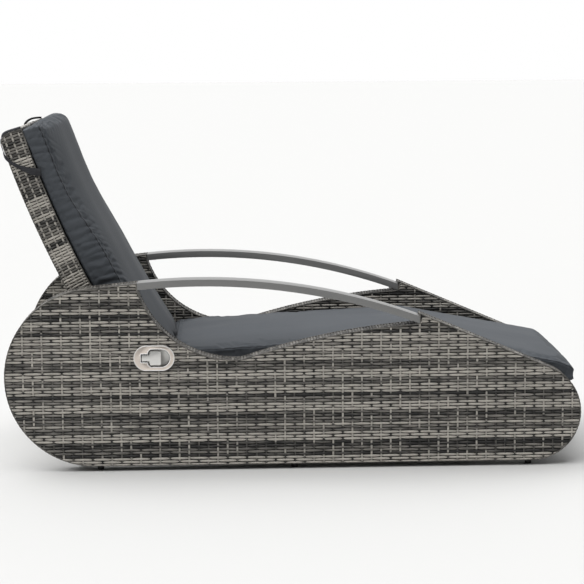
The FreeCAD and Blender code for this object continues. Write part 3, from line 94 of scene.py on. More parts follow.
def powder_coat(name, low, high, roughness):
    # baked polyester powder: an even satin skin with a faint orange peel, drawn at 2.5 mm so that it shows
    material, tree, shader = start_material(name, Roughness=roughness, IOR=1.5)
    where = add(tree, "TexCoord")
    cloud = add(tree, "TexNoise", {"Vector": (where, "Object"), "Scale": 1 / (90 * MM), "Detail": 3.0})
    tint = add(tree, "Mix", {0: (cloud, "Fac"), 6: linear(low), 7: linear(high)}, data_type="RGBA")
    peel = add(tree, "TexNoise", {"Vector": (where, "Object"), "Scale": 1 / (2.5 * MM), "Detail": 1.0})
    bump = add(tree, "Bump", {"Height": (peel, "Fac"), "Strength": 0.12, "Distance": 0.2 * MM})
    tree.links.new(tint.outputs[2], shader.inputs["Base Color"])
    tree.links.new(bump.outputs["Normal"], shader.inputs["Normal"])
    return material


def wear(node_names, material):
    # the material of whole rigid nodes
    for name in node_names:
        nodes[name].data.materials.clear()
        nodes[name].data.materials.append(material)


wear(FRAME_NODES, powder_coat("grey_powder_coat", "#3c3c3b", "#4a4a48", 0.5))


# Bolts, pins, nuts and the gas spring's rod
# Zinc-plated steel, bright but a little cloudy from the plating.

FASTENER_NODES = [
    "frame_bolts", "armrest_screws", "tongue_bolts", "hinge_pins", "hinge_nuts", "hinge_bushes",
    "gas_spring_pin", "rod_lock_nut", "release_pin", "release_arm", "handle_lever_pin", "handle_spring",
    "handle_nuts", "handle_clamp_ring", "gas_rod",
]
zinc, zinc_tree, zinc_shader = start_material("zinc_plated_steel", Metallic=1.0)
zinc_where = add(zinc_tree, "TexCoord")
zinc_cloud = add(zinc_tree, "TexNoise",
                 {"Vector": (zinc_where, "Object"), "Scale": 1 / (6 * MM), "Detail": 4.0})
zinc_tint = add(zinc_tree, "Mix", {0: (zinc_cloud, "Fac"), 6: linear("#9a9a9c"), 7: linear("#c3c3c4")},
                data_type="RGBA")
zinc_gloss = add(zinc_tree, "MapRange", {0: (zinc_cloud, "Fac"), 3: 0.28, 4: 0.46})
zinc_tree.links.new(zinc_tint.outputs[2], zinc_shader.inputs["Base Color"])
zinc_tree.links.new(zinc_gloss.outputs[0], zinc_shader.inputs["Roughness"])
wear(FASTENER_NODES, zinc)


# Glide feet, gas spring cylinder, release cable and its grommet
# Feet are moulded black polyethylene buttons; the cylinder has a gloss black stove enamel; the cable's
# casing and the grommet are black rubber.

FOOT_NODES = [f"{side}_{place}_foot" for side in ("right", "left") for place in ("head", "mid", "nose")]


def black_skin(name, roughness, grain):
    # black moulded or enamelled skin with a fine surface grain
    material, tree, shader = start_material(name, Roughness=roughness, IOR=1.5)
    where = add(tree, "TexCoord")
    speck = add(tree, "TexNoise", {"Vector": (where, "Object"), "Scale": 1 / grain, "Detail": 2.0})
    tint = add(tree, "Mix", {0: (speck, "Fac"), 6: linear("#101010"), 7: linear("#1f1f20")},
               data_type="RGBA")
    bump = add(tree, "Bump", {"Height": (speck, "Fac"), "Strength": 0.15, "Distance": 0.2 * MM})
    tree.links.new(tint.outputs[2], shader.inputs["Base Color"])
    tree.links.new(bump.outputs["Normal"], shader.inputs["Normal"])
    return material


wear(FOOT_NODES, black_skin("moulded_polyethylene", 0.55, 1.5 * MM))
wear(["gas_cylinder"], black_skin("black_enamel", 0.2, 8 * MM))
# black rubber for the cable and grommet; the same black paints the shade of the gap in the handle's opening
BLACK_RUBBER_AND_GAP_SHADE = black_skin("black_rubber", 0.7, 1.2 * MM)
wear(["release_cable", "cable_grommet"], BLACK_RUBBER_AND_GAP_SHADE)


# Side panels
# Flat extruded polyethylene strand, woven over upright stakes on both faces of each panel, carried
# across the rim, and finished at every edge with a twisted border strand. Strand tones are mixed greys.

STAKE_PITCH = 28.4 * MM
STAKE_WIDTH = 5.6 * MM
ROW_PITCH = 8.9 * MM
STRAND_WIDTH = 7.2 * MM
STRAND_NARROWS = 0.3
STRAND_CURL = 3.2 * MM
ROW_WAVE = 1.5 * MM
ROW_BOW, BOW_LENGTH = 0.5 * MM, 97 * MM
LEVEL_SHARE = 0.45
STAKE_WAVE = 1.5 * MM
WEAVE_DEPTH = 1.7 * MM
CORE_DEPTH = 4.2 * MM
SKIN_MIDDLE = 2.5 * MM
SMALL_HOLE = 200 * MM
CUT_BEFORE, CUT_BEHIND = 20 * MM, 40 * MM
RIM_STAKES = 3
RIM_AXIS_ENDS, RIM_AXIS_HEIGHT = (-0.58, 0.6), 0.2
WELD = 0.005 * MM
ROPE_LONG, ROPE_SHORT = 2.2 * MM, 1.6 * MM
ROPE_TWIST = 26 * MM
TONES = {"light": 0.86, "mid": 0.33, "dark": 0.07}
ROWS_IN_BAND = {"light": (1, 2, 2, 3), "mid": (1, 1, 2), "dark": (1, 1, 2, 2)}
# stake tones at random; SHADED_STAKE is painted shade on the stretches of a stake between its lit ticks
STAKE_TONES, SHADED_STAKE = (0.9, 0.8, 0.7, 0.1), 0.06
SHORT_STAKE_TONE, ROPE_TONE, RIM_SHADE = 0.75, 0.22, 0.4
TONE_LENGTH, STAKE_SHADE_LENGTH = 60 * MM, 45 * MM
PANEL_SEEDS = {"right": 11, "left": 47}


def rattan():
    # mixed-tone polyethylene strand: satin, streaked along its length, with fine extrusion lines
    material, tree, shader = start_material("grey_mixed_rattan", Roughness=0.5, IOR=1.5)
    where = add(tree, "TexCoord")
    tone = add(tree, "Attribute", attribute_name="tone")
    run = add(tree, "Attribute", attribute_name="run")
    cloud = add(tree, "TexNoise",
                {"Vector": (run, "Vector"), "Scale": 1.0, "Detail": 3.0, "Roughness": 0.6})
    drift = add(tree, "MapRange", {0: (cloud, "Fac"), 1: 0.3, 2: 0.7, 3: -0.25, 4: 0.25})
    level = add(tree, "Math", {0: (tone, "Fac"), 1: (drift, 0)}, operation="ADD", use_clamp=True)
    shade = add(tree, "Mix", {0: (level, 0), 6: linear("#1c1c1b"), 7: linear("#c2bdb4")}, data_type="RGBA")
    streak = add(tree, "TexNoise", {"Vector": (where, "Object"), "Scale": 1 / (3 * MM), "Detail": 2.0})
    speck = add(tree, "MapRange", {0: (streak, "Fac"), 1: 0.25, 2: 0.75, 3: 0.72, 4: 1.12})
    tint = add(tree, "Mix", {0: 1.0, 6: (shade, 2), 7: (speck, 0)}, data_type="RGBA", blend_type="MULTIPLY")
    bump = add(tree, "Bump", {"Height": (streak, "Fac"), "Strength": 0.2, "Distance": 0.4 * MM})
    tree.links.new(tint.outputs[2], shader.inputs["Base Color"])
    tree.links.new(bump.outputs["Normal"], shader.inputs["Normal"])
    return material


def plain_dark(name, colour):
    # a dark matt colour, patchy at random: behind the strands it is painted shade for the dark hollow, along
    # the seams painted shade of their crease, on the webbing the strap's own colour
    material, tree, shader = start_material(name, Roughness=0.9)
    where = add(tree, "TexCoord")
    patchy_tone = add(tree, "TexNoise", {"Vector": (where, "Object"), "Scale": 1 / (20 * MM)})
    tint = add(tree, "Mix", {0: (patchy_tone, "Fac"), 6: linear("#0b0b0b"), 7: linear(colour)}, data_type="RGBA")
    tree.links.new(tint.outputs[2], shader.inputs["Base Color"])
    return material


RATTAN = rattan()
# painted shade: a dark skin behind the strands, where the hollow panel is in shade
BEHIND = plain_dark("shadowed_plastic", "#1b1a19")


def new_weave():
    # a mesh in the making, with the strand's tone and its run along the weave kept on each point
    bm = bmesh.new()
    return bm, bm.verts.layers.float.new("tone"), bm.verts.layers.float_vector.new("run")


def placed(name, data):
    # a new object in the scene
    obj = bpy.data.objects.new(name, data)
    bpy.context.scene.collection.objects.link(obj)
    return obj


def final_mesh(obj):
    # the mesh that an object's modifiers, cloth or curve settings come to
    return bpy.data.meshes.new_from_object(obj.evaluated_get(bpy.context.evaluated_depsgraph_get()))


def baked(obj):
    # the object with its modifiers made part of its mesh
    mesh = final_mesh(obj)
    obj.modifiers.clear()
    obj.data = mesh


def piece(name, bm, material, body, smooth=True):
    # the finished mesh as an object that rides on a body
    mesh = bpy.data.meshes.new(name)
    for face in bm.faces:
        face.smooth = smooth
    bm.to_mesh(mesh)
    bm.free()
    mesh.materials.append(material)
    obj = placed(name, mesh)
    if body:
        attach(obj, body)
    return obj


def strip(weave, place, outward, stations, widths, tone):
    # a grid of stations along and steps across, each point put in place by a formula; faces turned outwards
    bm, tones, runs = weave
    last = len(stations) - 1
    made = bmesh.ops.create_grid(bm, x_segments=last, y_segments=widths, size=0.5)["verts"]
    for v in made:
        here = stations[round((v.co.x + 0.5) * last)]
        v.co, v[runs] = place(here, v.co.y)
        v[tones] = tone(here) if callable(tone) else tone
    faces = list({f for v in made for f in v.link_faces})
    faces[0].normal_update()
    if faces[0].normal.dot(outward(faces[0].calc_center_median())) < 0:
        bmesh.ops.reverse_faces(bm, faces=faces)
    return made


def stations(start, stop, step, origin=0.0):
    # places along a strand: its two ends, and every step between them counted from the origin
    inside = range(math.floor((start - origin) / step) + 1, math.ceil((stop - origin) / step))
    return [start] + [origin + k * step for k in inside] + [stop]


def section(node, plane, axis):
    # the closed outlines where a plane cuts a node, longest first, as 2-D points
    bm = bmesh.new()
    bm.from_mesh(nodes[node].data)
    bmesh.ops.remove_doubles(bm, verts=bm.verts, dist=WELD)
    normal = Vector([1.0 if i == axis else 0.0 for i in range(3)])
    bmesh.ops.bisect_plane(bm, geom=bm.verts[:] + bm.edges[:] + bm.faces[:], plane_co=normal * plane,
                           plane_no=normal, clear_inner=True, clear_outer=True)
    bmesh.ops.remove_doubles(bm, verts=bm.verts, dist=WELD)
    keep = [i for i in range(3) if i != axis]
    loops, left = [], set(bm.verts)
    while left:
        first = left.pop()
        loop, here = [first], first
        while True:
            onward = [e.other_vert(here) for e in here.link_edges if e.other_vert(here) in left]
            if not onward:
                break
            here = onward[0]
            left.discard(here)
            loop.append(here)
        loops.append([(v.co[keep[0]], v.co[keep[1]]) for v in loop])
    bm.free()
    return sorted(loops, key=lambda loop: -path_length(loop + loop[:1]))


def path_length(points):
    return sum(math.dist(p, q) for p, q in zip(points, points[1:]))


def spans(loops, level, axis):
    # the stretches of a straight line at `level` that lie inside the outlines
    hits = []
    for loop in loops:
        for p, q in zip(loop, loop[1:] + loop[:1]):
            if (p[1 - axis] > level) != (q[1 - axis] > level):
                share = (level - p[1 - axis]) / (q[1 - axis] - p[1 - axis])
                hits.append(p[axis] + share * (q[axis] - p[axis]))
    hits.sort()
    return [(a, b) for a, b in zip(hits[::2], hits[1::2]) if b - a > STRAND_WIDTH]


class Path:
    """A line of 2-D points, read by length along it, with its normal on the left-hand side."""

    def __init__(self, points, reach=12 * MM):
        self.points, self.reach, self.starts = points, reach, [0.0]
        for p, q in zip(points, points[1:]):
            self.starts.append(self.starts[-1] + math.dist(p, q))
        self.length = self.starts[-1]

    def at(self, where):
        where = min(max(where, 0.0), self.length)
        low, high = 0, len(self.starts) - 1
        while high - low > 1:
            middle = (low + high) // 2
            low, high = (middle, high) if self.starts[middle] <= where else (low, middle)
        share = (where - self.starts[low]) / max(self.starts[low + 1] - self.starts[low], 1e-9)
        p, q = self.points[low], self.points[low + 1]
        return Vector((p[0] + share * (q[0] - p[0]), p[1] + share * (q[1] - p[1])))

    def normal(self, where):
        run = self.at(where + self.reach) - self.at(where - self.reach)
        return Vector((-run.y, run.x)).normalized()

    def off(self, where, height):
        return self.at(where) + self.normal(where) * height

    def offset(self, height):
        # the points of a closed path, moved out by a height
        return [self.off(start, height) for start in self.starts[:-1]]


def outward_path(loop):
    # the outline as a closed path whose left-hand normal points out of it
    area = sum(p[0] * q[1] - q[0] * p[1] for p, q in zip(loop, loop[1:] + loop[:1]))
    ring = loop if area < 0 else loop[::-1]
    return Path(ring + ring[:1])


def tone_rows(seed, spread):
    # row tones in bands of a few rows, light, mid or dark by turns, each row a little off its band
    draw = random.Random(seed)
    band = "light"
    while True:
        for _ in range(spread * draw.choice(ROWS_IN_BAND[band])):
            yield TONES[band] + draw.uniform(-0.1, 0.1)
        band = draw.choice([other for other in TONES if other != band])


def curl(across):
    # the strand's section: flat in the middle, turned down at both edges
    return -STRAND_CURL * (2 * abs(across)) ** 2.5


def over_under(turn):
    # the strand's rise: level where it passes over a stake, dipping sharply under the next
    dip = max(0.0, (-math.cos(math.pi * turn) - LEVEL_SHARE) / (1 - LEVEL_SHARE))
    return 1 - 2 * dip * dip


def squeezed(rise):
    # the strand's width: drawn narrower where it dips under a stake
    return STRAND_WIDTH * (1 - STRAND_NARROWS * (1 - rise))


def weave_face(weave, surface, outward, loops, seed):
    # rows over stakes on one surface; surface(s, t, h) gives a point at height h over the sheet
    tones = tone_rows(seed, 1)
    draw = random.Random(seed + 1)
    low, high = (pick(p[1] for loop in loops for p in loop) for pick in (min, max))
    left, right = (pick(p[0] for loop in loops for p in loop) for pick in (min, max))
    for row in range(math.ceil(low / ROW_PITCH), math.floor(high / ROW_PITCH) + 1):
        tone = next(tones)
        shift = draw.uniform(0, 50)

        def lay_row(s, across, row=row, shift=shift):
            rise = over_under(s / STAKE_PITCH + row)
            bow = ROW_BOW * math.sin(s / BOW_LENGTH + row)
            t = row * ROW_PITCH + across * squeezed(rise) + bow
            point = surface(s, t, ROW_WAVE * rise + curl(across) - WEAVE_DEPTH)
            return point, (s / TONE_LENGTH + shift, row * 7.3, across)

        for start, stop in spans(loops, row * ROW_PITCH, 0):
            strip(weave, lay_row, outward, stations(start, stop, STAKE_PITCH / 4), 3, tone)
    for stake in range(math.ceil(left / STAKE_PITCH), math.floor(right / STAKE_PITCH) + 1):
        bright = draw.choice(STAKE_TONES)

        # painted light and shade: each stake goes near black along stretches set by noise, so that it shows
        # only in short lit ticks
        def thread_fleck_and_stake_shade(t, stake=stake, bright=bright):
            lit = noise.noise(Vector((stake * 3.7, t / STAKE_SHADE_LENGTH, 0.0))) > 0.0
            return bright if lit else SHADED_STAKE

        def lay_stake(t, across, stake=stake):
            wave = -STAKE_WAVE * math.cos(math.pi * (stake + t / ROW_PITCH))
            point = surface(stake * STAKE_PITCH + across * STAKE_WIDTH, t,
                            wave + 0.5 * curl(across) - WEAVE_DEPTH)
            return point, (stake * 5.1, t / TONE_LENGTH, across)

        for start, stop in spans(loops, stake * STAKE_PITCH, 1):
            strip(weave, lay_stake, outward, stations(start, stop, ROW_PITCH / 2), 2, thread_fleck_and_stake_shade)


def weave_across(weave, surface, outward, length, depth, stakes, seed, spread, shade):
    # short rows laid across a narrow side, over a few stakes that run along it
    tones = tone_rows(seed, spread)
    pitch = depth / stakes
    first_stake = (1 - stakes) / 2 * pitch
    for row in range(round(length / ROW_PITCH)):

        def lay_row(s, across, row=row):
            rise = over_under((s - first_stake) / pitch + row)
            t = (row + 0.5) * ROW_PITCH + across * squeezed(rise)
            point = surface(s, t, ROW_WAVE * rise + curl(across) - WEAVE_DEPTH)
            return point, (s / TONE_LENGTH + row * 3.7, row * 7.3, across)

        places = stations(-depth / 2, depth / 2, pitch / 4, first_stake)
        strip(weave, lay_row, outward, places, 3, shade * next(tones))
    for stake in range(stakes):

        def lay_stake(t, across, stake=stake):
            wave = -STAKE_WAVE * math.cos(math.pi * (stake + t / ROW_PITCH - 0.5))
            point = surface(first_stake + stake * pitch + across * STAKE_WIDTH, t,
                            wave + 0.5 * curl(across) - WEAVE_DEPTH)
            return point, (stake * 5.1, t / TONE_LENGTH, across)

        strip(weave, lay_stake, outward, stations(0.0, length, ROW_PITCH / 2), 2,
              shade * SHORT_STAKE_TONE)


def rope(weave, path, place, seed):
    # the border strand: an oval section that turns as it runs, so that it looks twisted
    bm = weave[0]

    def lay(t, across):
        turn, round_angle = 2 * math.pi * t / ROPE_TWIST, 2 * math.pi * across
        a, b = ROPE_LONG * math.cos(round_angle), ROPE_SHORT * math.sin(round_angle)
        side = a * math.cos(turn) - b * math.sin(turn)
        up = a * math.sin(turn) + b * math.cos(turn)
        return place(t, side, up), (t / TONE_LENGTH + seed, 0.0, 0.0)

    made = strip(weave, lay, lambda p: Vector((0, 0, 0)), stations(0.0, path.length, ROPE_TWIST / 10), 8,
                 ROPE_TONE)
    bmesh.ops.remove_doubles(bm, verts=made, dist=0.01 * MM)


def edge_limits(loop, step=4 * MM):
    # the outline's lowest and highest point at each step along X, a little inside the border strand
    table = {}
    first, last = (pick(p[0] for p in loop) for pick in (min, max))
    for k in range(math.ceil(first / step), math.floor(last / step) + 1):
        inside = spans([loop], k * step, 1)
        if inside:
            table[k] = (inside[0][0] + ROPE_SHORT, inside[-1][1] - ROPE_SHORT)
    ends = min(table), max(table)
    return lambda x: table[min(max(round(x / step), ends[0]), ends[1])]


def prism(name, ring, low_y, high_y, body=None):
    # a plain dark block of painted shade: an outline in X and Z, carried from one Y to the other
    bm = bmesh.new()
    face = bm.faces.new([bm.verts.new((x, low_y, z)) for x, z in ring])
    raised = bmesh.ops.extrude_face_region(bm, geom=[face])["geom"]
    bmesh.ops.translate(bm, verts=[v for v in raised if isinstance(v, bmesh.types.BMVert)],
                        vec=(0, high_y - low_y, 0))
    bmesh.ops.recalc_face_normals(bm, faces=bm.faces)
    return piece(name, bm, BEHIND, body, smooth=False)


def panel_core(name, ring, low_y, high_y, hole):
    # the dark block behind the strands, painted shade for the hollow, cut through where the handle sits
    core = prism(name, ring, low_y, high_y)
    if hole:
        cutter = prism(name + "_cutter", hole, low_y - CUT_BEFORE, low_y + CUT_BEHIND)
        cut = core.modifiers.new("handle_hole", "BOOLEAN")
        cut.object, cut.operation, cut.solver = cutter, "DIFFERENCE", "EXACT"
        baked(core)
        bpy.data.objects.remove(cutter)
    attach(core, "base")


for side, sign in (("right", -1), ("left", 1)):
    low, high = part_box(f"{side}_side_weave")
    outer_y = low.y if sign < 0 else high.y
    inner_y = high.y if sign < 0 else low.y
    middle_y = (low.y + high.y) / 2
    outer_loops = section(f"{side}_side_weave", outer_y - sign * SKIN_MIDDLE, 1)
    outline = outward_path(outer_loops[0])
    face_loops = outer_loops[:1] + [loop for loop in outer_loops[1:] if path_length(loop) > SMALL_HOLE]
    seed = PANEL_SEEDS[side]

    limits = edge_limits(outer_loops[0])
    for face, face_y, way in (("outer", outer_y, sign), ("inner", inner_y, -sign)):

        def on_face(s, t, h, y=face_y, w=way):
            lowest, highest = limits(s)
            return Vector((s, y + w * h, min(max(t, lowest), highest)))

        weave = new_weave()
        weave_face(weave, on_face, lambda p, w=way: Vector((0, w, 0)),
                   face_loops if face == "outer" else outer_loops[:1], seed)
        skin = piece(f"{side}_{face}_weave", weave[0], RATTAN, "base")
        if face == "outer":
            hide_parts(f"{side}_side_weave")

    def on_rim(s, t, h, y=middle_y):
        p = outline.off(t, h)
        return Vector((p.x, y + s, p.y))

    def out_of_rim(point, y=middle_y):
        nearest_x = max(RIM_AXIS_ENDS[0], min(RIM_AXIS_ENDS[1], point.x))
        return point - Vector((nearest_x, y, RIM_AXIS_HEIGHT))

    weave = new_weave()
    weave_across(weave, on_rim, out_of_rim, outline.length, high.y - low.y - 2 * ROPE_SHORT, RIM_STAKES,
                 seed + 5, 1, RIM_SHADE)
    rim = piece(f"{side}_rim_weave", weave[0], RATTAN, "base")

    weave = new_weave()
    for edge_y, way in ((outer_y, sign), (inner_y, -sign)):

        def on_edge(t, sideways, up, y=edge_y, w=way):
            p = outline.off(t, up - ROPE_SHORT)
            return Vector((p.x, y + w * (sideways - ROPE_SHORT), p.y))

        rope(weave, outline, on_edge, seed)
    bmesh.ops.recalc_face_normals(weave[0], faces=weave[0].faces)
    border = piece(f"{side}_border_strand", weave[0], RATTAN, "base")
    panel_core(f"{side}_panel_core", outline.offset(-CORE_DEPTH), low.y + CORE_DEPTH, high.y - CORE_DEPTH,
               outer_loops[1] if sign < 0 else None)


# Seat deck
# The same strand woven flat over the seat frame; the cushion hides it from above.


def deck_material():
    # rows and stakes drawn by two waves, because the deck only shows from underneath; the strands are
    # painted lighter over the stakes and darker in the dips
    material, tree, shader = start_material("woven_deck", Roughness=0.55)
    where = add(tree, "TexCoord")
    place = add(tree, "SeparateXYZ", {0: (where, "Object")})
    row = add(tree, "Math", {0: (place, "X"), 1: ROW_PITCH}, operation="DIVIDE")
    stake = add(tree, "Math", {0: (place, "Y"), 1: STAKE_PITCH}, operation="DIVIDE")
    row_number = add(tree, "Math", {0: (row, 0)}, operation="FLOOR")
    phase = add(tree, "Math", {0: (stake, 0), 1: (row_number, 0)}, operation="ADD")
    turn = add(tree, "Math", {0: (phase, 0), 1: math.pi}, operation="MULTIPLY")
    wave = add(tree, "Math", {0: (turn, 0)}, operation="COSINE")
    within = add(tree, "Math", {0: (row, 0)}, operation="FRACT")
    crown = add(tree, "Math", {0: (within, 0), 1: 0.5, 2: 0.5}, operation="COMPARE")
    shade = add(tree, "TexWhiteNoise", {"W": (row_number, 0)}, noise_dimensions="1D")
    # painted light and shade: lighter where a strand rides over a stake, darker where it dips under the next
    lit = add(tree, "MapRange", {0: (wave, 0), 1: -1.0, 2: 1.0, 3: 0.15, 4: 0.7})
    mixed = add(tree, "Math", {0: (shade, "Value"), 1: (lit, 0)}, operation="MULTIPLY")
    tint = add(tree, "Mix", {0: (mixed, 0), 6: linear("#1d1d1c"), 7: linear("#b3aea6")}, data_type="RGBA")
    height = add(tree, "Math", {0: (wave, 0), 1: (crown, 0)}, operation="MULTIPLY")
    bump = add(tree, "Bump", {"Height": (height, 0), "Strength": 0.6, "Distance": 2 * MM})
    tree.links.new(tint.outputs[2], shader.inputs["Base Color"])
    tree.links.new(bump.outputs["Normal"], shader.inputs["Normal"])
    return material


wear(["seat_deck_weave"], deck_material())


# Armrests
# Rectangular aluminium tube bent to one long arc, silver powder coat, its corners rounded by the die.

ARM_EDGE = 3.5 * MM
SILVER_COAT = powder_coat("silver_powder_coat", "#797978", "#838382", 0.38)


def eased_copy(node, name, edge, material, body, segments=3):
    # a copy of a rigid node with its flat faces joined up and its sharp edges rounded
    bm = bmesh.new()
    bm.from_mesh(nodes[node].data)
    bmesh.ops.remove_doubles(bm, verts=bm.verts, dist=WELD)
    bmesh.ops.dissolve_limit(bm, angle_limit=math.radians(0.5), verts=bm.verts, edges=bm.edges)
    sharp = [e for e in bm.edges if len(e.link_faces) == 2 and e.calc_face_angle() > math.radians(40)]
    bmesh.ops.bevel(bm, geom=sharp, offset=edge, offset_type="OFFSET", segments=segments, profile=0.5,
                    affect="EDGES", material=-1, clamp_overlap=True)
    obj = piece(name, bm, material, body)
    obj.data.set_sharp_from_angle(angle=math.radians(35))
    return obj


for side in ("right", "left"):
    arm = eased_copy(f"{side}_armrest", f"{side}_arm_bar", ARM_EDGE, SILVER_COAT, "base")
    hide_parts(f"{side}_armrest")


# Backrest sleeve
# Woven over its own hoop: rows across the back that carry on over the top, and short rows down both sides.

BACK_DEPTH = 70 * MM
CORNER_RUN = 20 * MM
OVERRUN = 14 * MM
BACK_SEED = 83
FLANK_SEEDS = {"right": 29, "left": 61}
back_low, back_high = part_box("backrest_weave")
back_loop = section("backrest_weave", back_high.y - SKIN_MIDDLE, 1)[0]
back_ring = outward_path(back_loop)


def chain(loop, first, last, via):
    # the stretch of a closed outline between two of its points that passes through a third
    i, j = loop.index(first), loop.index(last)
    ways = [loop[i:j + 1] if i < j else loop[i:] + loop[:j + 1],
            (loop[j:i + 1] if j < i else loop[j:] + loop[:i + 1])[::-1]]
    return next(way for way in ways if via in way)


# from the lowest point up the rear arc, over the cut corner and forward along the top
back_foot, back_top = (pick(back_loop, key=lambda p: p[1]) for pick in (min, max))
rear_corner = min(back_loop, key=lambda p: p[0])
rear_points = chain(back_loop, back_foot, back_top, rear_corner)
rear_path = Path(rear_points)
rear_run = rear_path.starts[rear_points.index(rear_corner)]


def on_back(s, t, h):
    p = rear_path.off(t, h)
    return Vector((p.x, s, p.y))


weave = new_weave()
half = back_high.y - ROPE_SHORT
back_sheet = [[(-half, 0.0), (half, 0.0), (half, rear_path.length), (-half, rear_path.length)]]
weave_face(weave, on_back, lambda p: Vector((-1, 0, 0.3)), back_sheet, BACK_SEED)
back_skin = piece("backrest_rear_weave", weave[0], RATTAN, "backrest")
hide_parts("backrest_weave")

for side, sign in (("right", -1), ("left", 1)):

    def on_side(s, t, h, w=sign):
        # the last rows run on past the rear arc and stop at the cut corner
        past = max(0.0, t - rear_run)
        where = min(t, rear_run)
        back = rear_path.normal(min(where, rear_run - CORNER_RUN))
        deep = max(s + BACK_DEPTH / 2, past)
        p = rear_path.at(where) - back * deep + Vector((back.y, -back.x)) * past
        return Vector((p.x, w * (back_high.y + h), p.y))

    weave = new_weave()
    weave_across(weave, on_side, lambda p, w=sign: Vector((0, w, 0)), rear_run + OVERRUN,
                 BACK_DEPTH - 2 * ROPE_SHORT, RIM_STAKES, FLANK_SEEDS[side], 2, 1.0)
    flank = piece(f"{side}_backrest_side_weave", weave[0], RATTAN, "backrest")

weave = new_weave()
for sign in (-1, 1):

    def on_back_edge(t, sideways, up, w=sign):
        p = back_ring.off(t, up - ROPE_SHORT)
        return Vector((p.x, w * (back_high.y + sideways - ROPE_SHORT), p.y))

    rope(weave, back_ring, on_back_edge, 5.0)
bmesh.ops.recalc_face_normals(weave[0], faces=weave[0].faces)
back_border = piece("backrest_border_strand", weave[0], RATTAN, "backrest")

# painted shade: a dark block in the backrest's hollow, behind its strands
prism("backrest_core", back_ring.offset(-CORE_DEPTH), back_low.y + CORE_DEPTH, back_high.y - CORE_DEPTH,
      "backrest")


# Pull handle
# A zinc casting in satin nickel: oval bezel, deep finger cup and a flat lever that swings out of it.

def nickel(name, low, high, roughness, metallic=1.0):
    # satin nickel plate: warm, with a faint lengthwise brushing drawn at 1 mm
    material, tree, shader = start_material(name, Metallic=metallic)
    where = add(tree, "TexCoord")
    turned = add(tree, "Mapping", {"Vector": (where, "Object"), "Scale": (0.05, 1.0, 1.0)})
    brush = add(tree, "TexNoise", {"Vector": (turned, 0), "Scale": 1 / (1.0 * MM), "Detail": 2.0})
    tint = add(tree, "Mix", {0: (brush, "Fac"), 6: linear(low), 7: linear(high)}, data_type="RGBA")
    gloss = add(tree, "MapRange", {0: (brush, "Fac"), 3: roughness, 4: roughness + 0.12})
    tree.links.new(tint.outputs[2], shader.inputs["Base Color"])
    tree.links.new(gloss.outputs[0], shader.inputs["Roughness"])
    return material


BEZEL_NICKEL = nickel("satin_nickel", "#d9cec4", "#e8ded5", 0.34)
LEVER_NICKEL = nickel("brushed_nickel_lever", "#d6d5d2", "#e6e5e2", 0.36)
# near white and barely metallic: the lips' bright highlight is painted into their colour
NICKEL_PAINTED_HIGHLIGHT = nickel("nickel_painted_highlight", "#fdfbf8", "#ffffff", 0.2, 0.2)
LIP_RADIUS, LIP_DEPTH = 1.3 * MM, 0.3 * MM
# a black bead inside the opening: painted shade of the gap round the lever
SHADE_BEAD_RADIUS, SHADE_BEAD_DEPTH, SHADE_BEAD_INSET = 0.9 * MM, 1.5 * MM, 0.4 * MM
LEVER_ROOM = 1.0 * MM


def bead(name, line, radius, material, body):
    # a round bead along a closed line of points
    curve = bpy.data.curves.new(name, "CURVE")
    curve.dimensions, curve.bevel_depth, curve.bevel_resolution = "3D", radius, 1
    spline = curve.splines.new("POLY")
    spline.points.add(len(line) - 1)
    for point, co in zip(spline.points, line):
        point.co = (*co, 1.0)
    spline.use_cyclic_u = True
    holder = placed(name + "_line", curve)
    mesh = final_mesh(holder)
    bpy.data.objects.remove(holder)
    mesh.materials.clear()
    mesh.materials.append(material)
    for polygon in mesh.polygons:
        polygon.use_smooth = True
    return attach(placed(name, mesh), body)


for node, body, edge, coat in (("handle_plate", "base", 1.0, BEZEL_NICKEL),
                               ("handle_cup", "base", 0.4, LEVER_NICKEL),
                               ("handle_lever", "pull_lever", 0.6, LEVER_NICKEL)):
    casting = eased_copy(node, node + "_casting", edge * MM, coat, body, segments=2)
    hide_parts(node)

# lips round the bezel and round its opening, near white as a painted highlight of polished nickel, and a
# black bead in the opening, painted shade of the gap round the lever
bezel_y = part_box("handle_plate")[0].y
bezel_loops = section("handle_plate", bezel_y + 0.5 * MM, 1)
for name, loop, outset, depth, radius, material, slot in (
        ("bezel_lip", bezel_loops[0], -LIP_RADIUS, LIP_DEPTH, LIP_RADIUS, NICKEL_PAINTED_HIGHLIGHT, "handle_nickel"),
        ("opening_lip", bezel_loops[1], LIP_RADIUS, LIP_DEPTH, LIP_RADIUS, NICKEL_PAINTED_HIGHLIGHT, "handle_nickel"),
        ("opening_shade_bead", bezel_loops[1], -SHADE_BEAD_INSET, SHADE_BEAD_DEPTH, SHADE_BEAD_RADIUS, BLACK_RUBBER_AND_GAP_SHADE, "black_rubber")):
    rim_line = outward_path(loop).offset(outset)
    if name == "opening_shade_bead":
        # drawn back at the slot's end, where the lever's barrel swings past
        slot_end = min(p.x for p in rim_line) + LEVER_ROOM
        rim_line = [p - Vector((LEVER_ROOM, 0)) if p.x < slot_end else p for p in rim_line]
    trim = bead(name, [(p.x, bezel_y + depth, p.y) for p in rim_line], radius, material, "base")


# Seat and back cushions
# Polyester cloth sewn as a top panel, a side band and an underside round a foam core. The fill swells
# the panels between the seams, and the thread gathers the cloth along them into short folds.

